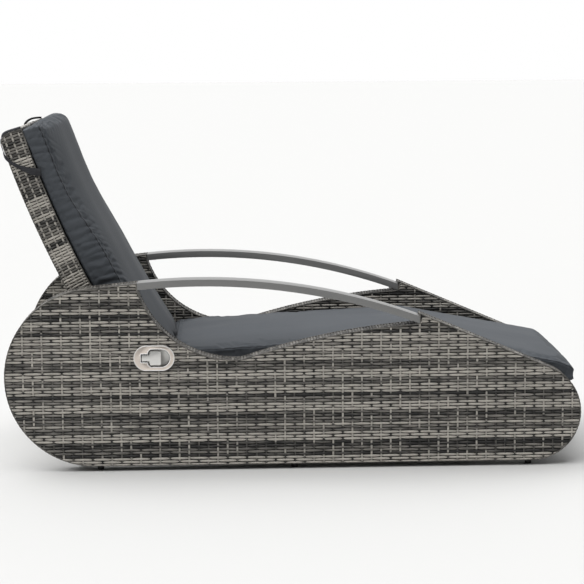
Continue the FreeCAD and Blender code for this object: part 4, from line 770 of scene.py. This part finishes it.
VOXEL = 6 * MM
SHRINK = 4 * MM
CLOTH_CAP = 8 * MM
SEAM_HOLD = 8 * MM
SEAM_RADIUS = 0.9 * MM
SEAM_STEP = 6 * MM
SEAM_CUTS = 26
STITCH_DEPTH, STITCH_WIDTH = 2.0 * MM, 4 * MM
FILL_PRESSURE, CLOTH_STEPS = 4.0, 20
FOLD_PITCH = 24 * MM
FOLD_SLANT = 0.6
SOFT_FOLD, SOFT_START = 5.0 * MM, 40 * MM
TOP_REACH = 60 * MM
TOP_DROP = 4 * MM
BACK_DROP = 12 * MM
LEAN = math.radians(33.3)
MEAN_LEAN = 0.45


def cushion_cloth():
    # slate polyester canvas: matt with a soft sheen; threads are 0.4 mm, drawn at 2 mm so that they show
    material, tree, shader = start_material("slate_polyester_canvas", Roughness=0.85, IOR=1.4,
                                            Sheen_Weight=0.05, Sheen_Roughness=0.5)
    where = add(tree, "TexCoord")
    cloud = add(tree, "TexNoise", {"Vector": (where, "Object"), "Scale": 1 / (140 * MM), "Detail": 4.0})
    thread = 2 * math.pi / (2.0 * MM)
    place = add(tree, "SeparateXYZ", {0: (where, "Object")})
    warp = add(tree, "Math", {0: (place, "Y"), 1: thread}, operation="MULTIPLY")
    weft_run = add(tree, "Math", {0: (place, "X"), 1: (place, "Z")}, operation="ADD")
    weft = add(tree, "Math", {0: (weft_run, 0), 1: thread}, operation="MULTIPLY")
    warp_wave = add(tree, "Math", {0: (warp, 0)}, operation="SINE")
    weft_wave = add(tree, "Math", {0: (weft, 0)}, operation="SINE")
    threads = add(tree, "Math", {0: (warp_wave, 0), 1: (weft_wave, 0)}, operation="MULTIPLY")
    tint = add(tree, "Mix", {0: (cloud, "Fac"), 6: linear("#44484d"), 7: linear("#4f5358")},
               data_type="RGBA")
    thread_fleck_and_stake_shade = add(tree, "MapRange", {0: (threads, 0), 1: -1.0, 2: 1.0, 3: 0.92, 4: 1.06})
    colour = add(tree, "Mix", {0: 1.0, 6: (tint, 2), 7: (thread_fleck_and_stake_shade, 0)}, data_type="RGBA",
                 blend_type="MULTIPLY")
    bump = add(tree, "Bump", {"Height": (threads, 0), "Strength": 0.1, "Distance": 0.3 * MM})
    tree.links.new(colour.outputs[2], shader.inputs["Base Color"])
    tree.links.new(bump.outputs["Normal"], shader.inputs["Normal"])
    return material


CANVAS = cushion_cloth()
# piping of the same cloth, coloured dark: painted shade of the seam's crease
SEAM_SHADE_PIPING = plain_dark("seam_piping_painted_shade", "#2c2d31")


def seam_loop(node, axis, towards, margins):
    # the sewn edge round one face: on cuts along the cushion, the point furthest out towards each corner
    low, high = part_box(node)
    first, last = low[axis] + margins[0], high[axis] - margins[1]
    ring = []
    for sign in (-1, 1):
        side = []
        for k in range(SEAM_CUTS):
            level = first + (last - first) * k / (SEAM_CUTS - 1)
            cut = section(node, level, axis)[0]
            if axis == 0:
                y, z = max(cut, key=lambda p: sign * p[0] + towards * p[1])
                side.append(Vector((level, y, z)))
            else:
                x, y = max(cut, key=lambda p: towards * p[0] + sign * p[1])
                side.append(Vector((x, y, level)))
        ring += side if sign < 0 else side[::-1]
    line = []
    for p, q in zip(ring, ring[1:] + ring[:1]):
        steps = max(1, round((q - p).length / SEAM_STEP))
        line += [p.lerp(q, k / steps) for k in range(steps)]
    return line


def near_seams(loops):
    # a finder of the nearest point on the sewn edges, and how far away it is
    tree = KDTree(sum(len(loop) for loop in loops))
    place = 0
    for loop in loops:
        for co in loop:
            tree.insert(co, place)
            place += 1
    tree.balance()
    return tree


def push(mesh, distance):
    # every point moved along its own normal by distance(place, normal)
    normals = [v.normal.copy() for v in mesh.vertices]
    for v, normal in zip(mesh.vertices, normals):
        v.co += normal * distance(v.co, normal)


def remeshed(node, name):
    # the cushion's own form with an even net of points
    bm = bmesh.new()
    bm.from_mesh(nodes[node].data)
    bmesh.ops.remove_doubles(bm, verts=bm.verts, dist=0.05 * MM)
    bmesh.ops.recalc_face_normals(bm, faces=bm.faces)
    rough = piece(name + "_rough", bm, CANVAS, None)
    net = rough.modifiers.new("net", "REMESH")
    net.mode, net.voxel_size = "VOXEL", VOXEL
    mesh = final_mesh(rough)
    bpy.data.objects.remove(rough)
    obj = placed(name, mesh)
    mesh.materials.clear()
    mesh.materials.append(CANVAS)
    return obj


def inflated(obj, seams, rests, slack):
    # the fill presses the cloth out between the seams, which hold; a side that rests stays flat
    mesh = obj.data
    normals = [v.normal.copy() for v in mesh.vertices]
    held = obj.vertex_groups.new(name="held")
    for v, normal in zip(mesh.vertices, normals):
        if rests(normal) or seams.find(v.co)[2] < SEAM_HOLD:
            held.add([v.index], 1.0, "REPLACE")
        else:
            v.co -= normal * SHRINK
    before = [v.co.copy() for v in mesh.vertices]
    settings = obj.modifiers.new("fill", "CLOTH").settings
    settings.vertex_group_mass = "held"
    settings.use_pressure, settings.uniform_pressure_force = True, FILL_PRESSURE
    settings.shrink_min = -slack
    settings.mass, settings.quality = 0.3, 5
    settings.tension_stiffness = settings.compression_stiffness = 15.0
    settings.bending_stiffness = 0.4
    settings.effector_weights.gravity = 0.0
    scene = bpy.context.scene
    for step in range(1, CLOTH_STEPS + 1):
        scene.frame_set(step)
    swollen = final_mesh(obj)
    for v, start in zip(swollen.vertices, before):
        move = v.co - start
        if move.length > CLOTH_CAP:
            v.co = start + move.normalized() * CLOTH_CAP
    obj.modifiers.clear()
    obj.vertex_groups.clear()
    obj.data = swollen
    scene.frame_set(1)


def along_seam(line):
    # a finder: how far along the sewn edge a point lies, and how far away from it
    tree = near_seams([line])
    starts = [0.0]
    for p, q in zip(line, line[1:]):
        starts.append(starts[-1] + (q - p).length)

    def find(co):
        start, place, away = tree.find(co)
        run = (line[(place + 1) % len(line)] - line[place - 1]).normalized()
        return starts[place] + (co - start).dot(run), away

    return find


def gathered(obj, line, rests, panel_fold, band_fold, reach):
    # puffs with sharp creases between them: they cross the side band, and fade out over the panel
    find = along_seam(line)

    def fold(co, normal):
        if rests(normal):
            return 0.0
        arc, away = find(co)
        on_band = min(max((abs(normal.y) - 0.45) / 0.3, 0.0), 1.0)
        drift = 0.8 * noise.noise(Vector((arc * 9, 0.0, 3.1)))
        drift += 0.25 * noise.noise(Vector((arc * 30, away * 20, 1.7)))
        slant = FOLD_SLANT * away * (1 - 1.3 * on_band) / FOLD_PITCH
        puff = abs(math.sin(math.pi * (arc / FOLD_PITCH + slant + drift))) ** 0.8 - 0.6
        depth = 0.6 + 0.5 * noise.noise(Vector((arc * 13, away * 9, 0.7)))
        fade = math.exp(-away / (reach * (1 + 2 * on_band)))
        height = panel_fold + (band_fold - panel_fold) * on_band
        soft = noise.noise(Vector((co.x * 2.5, co.y * 8, co.z * 2.5)))
        stitch = -STITCH_DEPTH * math.exp(-(away / STITCH_WIDTH) ** 2)
        return stitch + height * puff * depth * fade + SOFT_FOLD * soft * (1 - math.exp(-away / SOFT_START))

    push(obj.data, fold)


def slanted(mesh):
    # the back cushion's top end falls away towards the backrest
    corner = rear_path.at(rear_run)
    back = rear_path.normal(rear_run - CORNER_RUN)
    for v in mesh.vertices:
        from_corner = Vector((v.co.x, v.co.z)) - corner
        height = from_corner.dot(Vector((back.y, -back.x)))
        depth = -from_corner.dot(back) - BACK_DEPTH
        near_top = min(max(1 + height / TOP_REACH, 0.0), 1.0)
        near_back = min(max(1 - depth / TOP_REACH, 0.0), 1.0)
        v.co.z -= near_top * (TOP_DROP + BACK_DROP * near_back)


def seat_rests(normal):
    # on the deck, and against the back cushion's lower end
    return normal.z < -0.6 or normal.dot(Vector((-math.sin(LEAN), 0, math.cos(LEAN)))) > 0.95


def back_rests(normal):
    # on the backrest, and against the seat cushion
    at_back = normal.dot(Vector((-math.cos(MEAN_LEAN), 0, -math.sin(MEAN_LEAN)))) > 0.8
    return at_back or normal.dot(Vector((math.sin(LEAN), 0, -math.cos(LEAN)))) > 0.93


for node, name, body, axis, rests, margins, look in (
        ("seat_cushion", "seat_pad", "base", 0, seat_rests, (78 * MM, 6 * MM),
         (0.02, 3.0 * MM, 4.0 * MM, 26 * MM)),
        ("back_cushion", "back_pad", "backrest", 2, back_rests, (62 * MM, 22 * MM),
         (0.05, 9.0 * MM, 8.0 * MM, 24 * MM))):
    slack, panel_fold, band_fold, fold_reach = look
    front_seam = seam_loop(node, axis, 1, margins)
    rear_seam = seam_loop(node, axis, -1, (margins[0] / 2, margins[1]))
    pad = remeshed(node, name)
    inflated(pad, near_seams([front_seam, rear_seam]), rests, slack)
    rounder = pad.modifiers.new("soft", "SUBSURF")
    rounder.levels = rounder.render_levels = 1
    baked(pad)
    if node == "back_cushion":
        slanted(pad.data)
    gathered(pad, front_seam, rests, panel_fold, band_fold, fold_reach)
    for polygon in pad.data.polygons:
        polygon.use_smooth = True
    surface = BVHTree.FromObject(pad, bpy.context.evaluated_depsgraph_get())
    seam_line = [surface.find_nearest(co)[0] for co in front_seam]
    # the piping along the front seam, in its painted-shade colour
    seam = bead(name + "_seam", seam_line, SEAM_RADIUS, SEAM_SHADE_PIPING, body)
    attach(pad, body)
    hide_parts(node)


# Corner straps
# Dark webbing sewn to the cushion's side band. It crosses the backrest's side, narrows to an elastic,
# turns behind the top corner and comes forward over the top, so that the cushion can't slide down.

STRAP_THICK, STRAP_LIFT = 1.4 * MM, 1.6 * MM
strap_cloth = plain_dark("dark_webbing", "#3d3e43")


def strap(name, stops, body):
    # stops: place, outward direction and width at points along the strap
    curve = bpy.data.curves.new(name + "_line", "CURVE")
    curve.dimensions, curve.resolution_u = "3D", 6
    spline = curve.splines.new("NURBS")
    spline.points.add(len(stops) - 1)
    for point, stop in zip(spline.points, stops):
        point.co = (*stop[0], 1.0)
    spline.order_u = 3
    spline.use_endpoint_u = True
    holder = placed(name + "_line", curve)
    line = final_mesh(holder)
    bpy.data.objects.remove(holder)
    path = [v.co.copy() for v in line.vertices]
    last = len(path) - 1
    bm = bmesh.new()
    for v in bmesh.ops.create_grid(bm, x_segments=last, y_segments=2, size=0.5)["verts"]:
        k = round((v.co.x + 0.5) * last)
        share = k / last * (len(stops) - 1)
        stop = min(int(share), len(stops) - 2)
        out = stops[stop][1].lerp(stops[stop + 1][1], share - stop)
        width = stops[stop][2] + (stops[stop + 1][2] - stops[stop][2]) * (share - stop)
        run = path[min(k + 1, last)] - path[max(k - 1, 0)]
        v.co = path[k] + run.cross(out).normalized() * v.co.y * width
    length = path_length([tuple(p) for p in path])
    area = sum(f.calc_area() for f in bm.faces)
    obj = piece(name, bm, strap_cloth, body)
    thick = obj.modifiers.new("thick", "SOLIDIFY")
    thick.thickness, thick.offset = STRAP_THICK, 0.0
    print(name, "flat length", round(length, 4), "area", round(area, 6))
    return obj


for side, sign in (("right", -1), ("left", 1)):

    def by_back(t, deep, y):
        # a point t up the rear path and so deep in front of it
        back = rear_path.normal(min(t, rear_run - CORNER_RUN) if t <= rear_run else t)
        p = rear_path.at(t) - back * deep
        return Vector((p.x, sign * y, p.y))

    beside = Vector((0, sign, 0))
    behind = Vector((-1, 0, -0.3))
    above = Vector((0, 0, 1))
    y = back_high.y + STRAP_LIFT
    hump = 1 * MM if sign < 0 else 8 * MM
    stops = [
        (by_back(rear_run - 125 * MM, 80 * MM, y + 1 * MM), beside, 22 * MM),
        (by_back(rear_run - 121 * MM, 64 * MM, y), beside, 20 * MM),
        (by_back(rear_run - 103 * MM, 40 * MM, y), beside, 13 * MM),
        (by_back(rear_run - 82 * MM, 17 * MM, y), beside, 9 * MM),
        (by_back(rear_run - 58 * MM, 0 * MM, y), beside, 8 * MM),
        (by_back(rear_run - 44 * MM, -4 * MM, y - 1 * MM), beside + behind, 7 * MM),
        (by_back(rear_run - 28 * MM, -3 * MM, y - 7 * MM), behind, 7 * MM),
        (by_back(rear_run - 6 * MM, -3 * MM, y - 6 * MM), behind, 7 * MM),
        (by_back(rear_run + 10 * MM, -3 * MM, y - 4 * MM), behind + above, 7 * MM),
        (by_back(rear_run + 26 * MM, -3 * MM - hump / 2, y - 4 * MM), beside + above, 8 * MM),
        (by_back(rear_run + 50 * MM, -3 * MM - hump, y - 4 * MM), beside + above, 8 * MM),
        (by_back(rear_path.length - 2 * MM, -3 * MM, y - 4 * MM), beside + above, 8 * MM),
    ]
    band = strap(f"{side}_strap", stops, "backrest")
    if sign < 0:
        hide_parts("corner_straps")


# Stage: a plain pale floor, soft light from above and the photograph's viewpoint

floor_mesh = bpy.data.meshes.new("floor")
bm = bmesh.new()
bmesh.ops.create_grid(bm, x_segments=1, y_segments=1, size=40)
bm.to_mesh(floor_mesh)
bm.free()
floor = placed("floor", floor_mesh)
paper, paper_tree, paper_shader = start_material("pale_floor", Roughness=0.9)
paper_shader.inputs["Base Color"].default_value = linear("#d2d2d1")
floor_mesh.materials.append(paper)

# a bright backdrop behind the object, a dimmer room in front of it, and one broad soft light overhead
world = bpy.data.worlds.new("studio")
world.use_nodes = True
sky = world.node_tree
facing = add(sky, "NewGeometry")
towards = add(sky, "SeparateXYZ", {0: (facing, "Incoming")})
glow = add(sky, "MapRange", {0: (towards, "Y"), 1: -0.1, 2: -0.8, 3: 0.13, 4: 1.0})
sky.nodes["Background"].inputs["Color"].default_value = linear("#ffffff")
sky.links.new(glow.outputs[0], sky.nodes["Background"].inputs["Strength"])
bpy.context.scene.world = world

overhead = bpy.data.lights.new("overhead", "SUN")
overhead.energy, overhead.angle = 3.9, math.radians(80)
overhead_lamp = placed("overhead", overhead)
overhead_lamp.rotation_euler = Vector((0.4, 0.05, -1.0)).to_track_quat("-Z", "Y").to_euler()

CAMERA_PLACE = Vector((-0.1886, -5.5957, 1.2858))
YAW, PITCH, ROLL = math.radians(2.006), math.radians(8.247), math.radians(-0.390)
ahead = Vector((math.sin(YAW) * math.cos(PITCH), math.cos(YAW) * math.cos(PITCH), -math.sin(PITCH)))
level_right = Vector((math.cos(YAW), -math.sin(YAW), 0))
level_up = level_right.cross(ahead)
right = math.cos(ROLL) * level_right + math.sin(ROLL) * level_up
up = -math.sin(ROLL) * level_right + math.cos(ROLL) * level_up
lens = bpy.data.cameras.new("photo_view")
lens.sensor_width, lens.lens = 36.0, 111.46
camera = placed("photo_view", lens)
camera.matrix_world = Matrix((
    (right.x, up.x, -ahead.x, CAMERA_PLACE.x),
    (right.y, up.y, -ahead.y, CAMERA_PLACE.y),
    (right.z, up.z, -ahead.z, CAMERA_PLACE.z),
    (0, 0, 0, 1),
))
bpy.context.scene.camera = camera
bpy.context.scene.view_settings.view_transform = "Standard"
